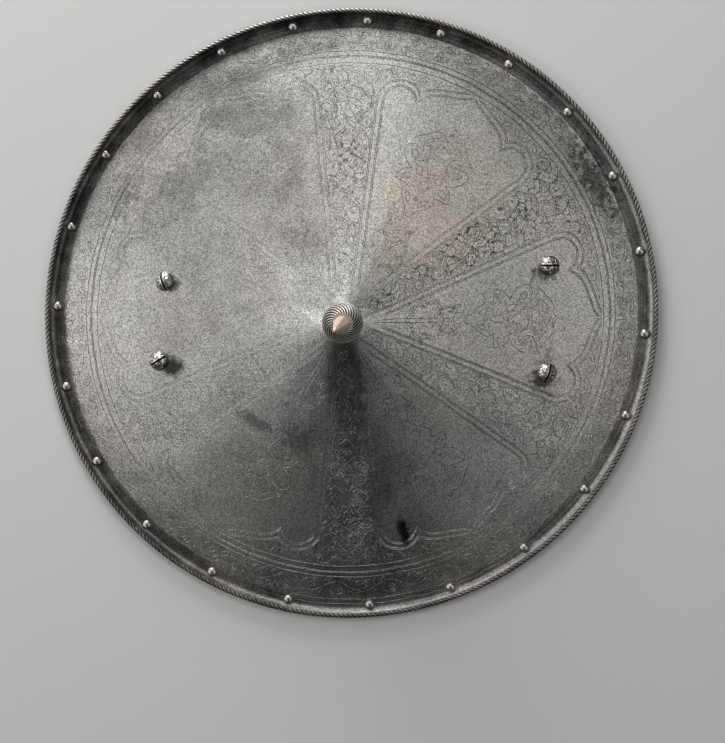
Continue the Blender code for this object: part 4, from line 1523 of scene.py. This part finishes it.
def worn_steel(name, cool, warm, roughness, dirt_and_shade_in_grooves, grain, metallic, stains_and_painted_light=()):
    """Old steel: uneven patina, fine pitting, dirt and painted shade in what is cut into it, painted shade on
    the rim and rope, and stains, painted shadows and a painted highlight.
    """
    finish = Finish(name)
    finish.shader.inputs["Metallic"].default_value = metallic
    groove = finish.attribute("groove")
    ground = finish.attribute("ground")
    cloud = finish.noise(30, 5, 0.6)
    fine = finish.noise(5, 4, 0.6)
    speck = finish.noise(1.5, 3, 0.75)
    grit = finish.noise(0.84, 1, 0.5, 5.0)
    pits = finish.span(finish.noise(1.7, 2, 0.5, 3.0), 0.62, 0.72)
    colour = finish.mix(finish.span(finish.noise(105, 3, 0.5, 7.0), 0.4, 0.62), cool, warm)
    for amount, tint, oval_patch in stains_and_painted_light:
        colour = finish.mix(finish.math("MULTIPLY", finish.oval_patch(*oval_patch), amount), colour, tint)
    shade = finish.span(cloud, 0.3, 0.7, 1 - 0.12 * grain, 1 + 0.1 * grain)
    for layer in (
        finish.span(fine, 0.3, 0.7, 1 - 0.06 * grain, 1 + 0.05 * grain),
        finish.span(speck, 0.34, 0.66, 1 - 0.12 * grain, 1 + 0.11 * grain),
        finish.span(grit, 0.38, 0.62, 1 - 0.46 * grain, 1 + 0.44 * grain),
        finish.span(pits, 0, 1, 1, 1 - 0.45 * grain),
        # Darkens the grooves: dirt in the plate's etching, painted shade on the rope, boss and screws
        finish.span(groove, 0, 0.5, 1, dirt_and_shade_in_grooves),
        finish.span(ground, 0, 1, 1, GROUND_SHADE),
    ):
        shade = finish.math("MULTIPLY", shade, layer)
    # Darkens by the dirt on the border and the painted shade on the rim and the rope
    dirt_and_shade_share = finish.math("MULTIPLY", finish.attribute("dirt_and_shade"), finish.span(cloud, 0.36, 0.62, 1.2, 0.8))
    shade = finish.math("MULTIPLY", shade, finish.math("SUBTRACT", 1.0, dirt_and_shade_share))
    rough = finish.span(cloud, 0.3, 0.7, roughness - 0.04, roughness + 0.05)
    for layer in (
        finish.span(speck, 0.3, 0.7, -0.04, 0.05),
        finish.span(groove, 0, 0.4, 0, 0.3),
        finish.span(ground, 0, 1, 0, 0.05),
    ):
        rough = finish.math("ADD", rough, layer)
    normal = None
    for height, depth in (
        (finish.noise(14, 2), 0.05),
        (speck, 0.07 * grain),
        (grit, 0.08 * grain),
        (pits, -0.05 * grain),
    ):
        normal = finish.bump(height, depth, normal)
    return finish.done(finish.dim(colour, shade), rough, normal)


# Floor, light and camera


def build_floor():
    corners = [(x * FLOOR_HALF_WIDTH, y * FLOOR_HALF_WIDTH, 0) for x, y in CORNERS]
    mesh = mesh_from("floor", corners, [(0, 1, 2, 3)])
    floor = bpy.data.objects.new("floor", mesh)
    bpy.context.scene.collection.objects.link(floor)
    material = bpy.data.materials.new("floor")
    material.use_nodes = True
    shader = material.node_tree.nodes["Principled BSDF"]
    shader.inputs["Base Color"].default_value = (*FLOOR_TINT, 1)
    shader.inputs["Roughness"].default_value = FLOOR_ROUGHNESS
    mesh.materials.append(material)


def soft_light(name, azimuth, zenith, watts, width):
    """A round soft light that faces the shield, placed by its angle round it and down from overhead."""
    data = bpy.data.lights.new(name, "AREA")
    data.shape = "DISK"
    data.size = width * MM
    data.energy = watts
    lamp = bpy.data.objects.new(name, data)
    bpy.context.scene.collection.objects.link(lamp)
    a, z = math.radians(azimuth), math.radians(zenith)
    away = Vector((math.sin(z) * math.cos(a), math.sin(z) * math.sin(a), math.cos(z)))
    lamp.location = away * LIGHT_DISTANCE * MM
    lamp.rotation_euler = away.to_track_quat("Z", "Y").to_euler()


def build_lights():
    world = bpy.data.worlds.new("room")
    world.use_nodes = True
    world.node_tree.nodes["Background"].inputs["Strength"].default_value = 0
    bpy.context.scene.world = world
    for light in LIGHTS:
        soft_light(*light)


def build_camera():
    data = bpy.data.cameras.new("camera")
    data.lens = CAMERA_LENS
    data.sensor_width = CAMERA_SENSOR
    data.clip_end = CAMERA_FAR
    camera = bpy.data.objects.new("camera", data)
    bpy.context.scene.collection.objects.link(camera)
    back = -Vector(CAMERA_LOOK).normalized()
    right = Vector((0, 1, 0)).cross(back).normalized()
    up = back.cross(right)
    turn = Matrix((right, up, back)).transposed().to_4x4()
    camera.matrix_world = Matrix.Translation(Vector(CAMERA_PLACE) * MM) @ turn
    bpy.context.scene.camera = camera


def main():
    bpy.context.scene.view_settings.view_transform = "Standard"
    build_camera()
    steels = {name: worn_steel(name, *values) for name, values in STEELS.items()}
    build_plate(steels["etched_steel"], steels["back_steel"])
    build_rope(steels["roped_steel"])
    build_spike(steels["boss_steel"], steels["tip_steel"])
    build_rivets(steels["rivet_steel"])
    build_screws(steels["screw_steel"])
    dress_nuts(steels["nut_steel"])
    build_floor()
    build_lights()


main()
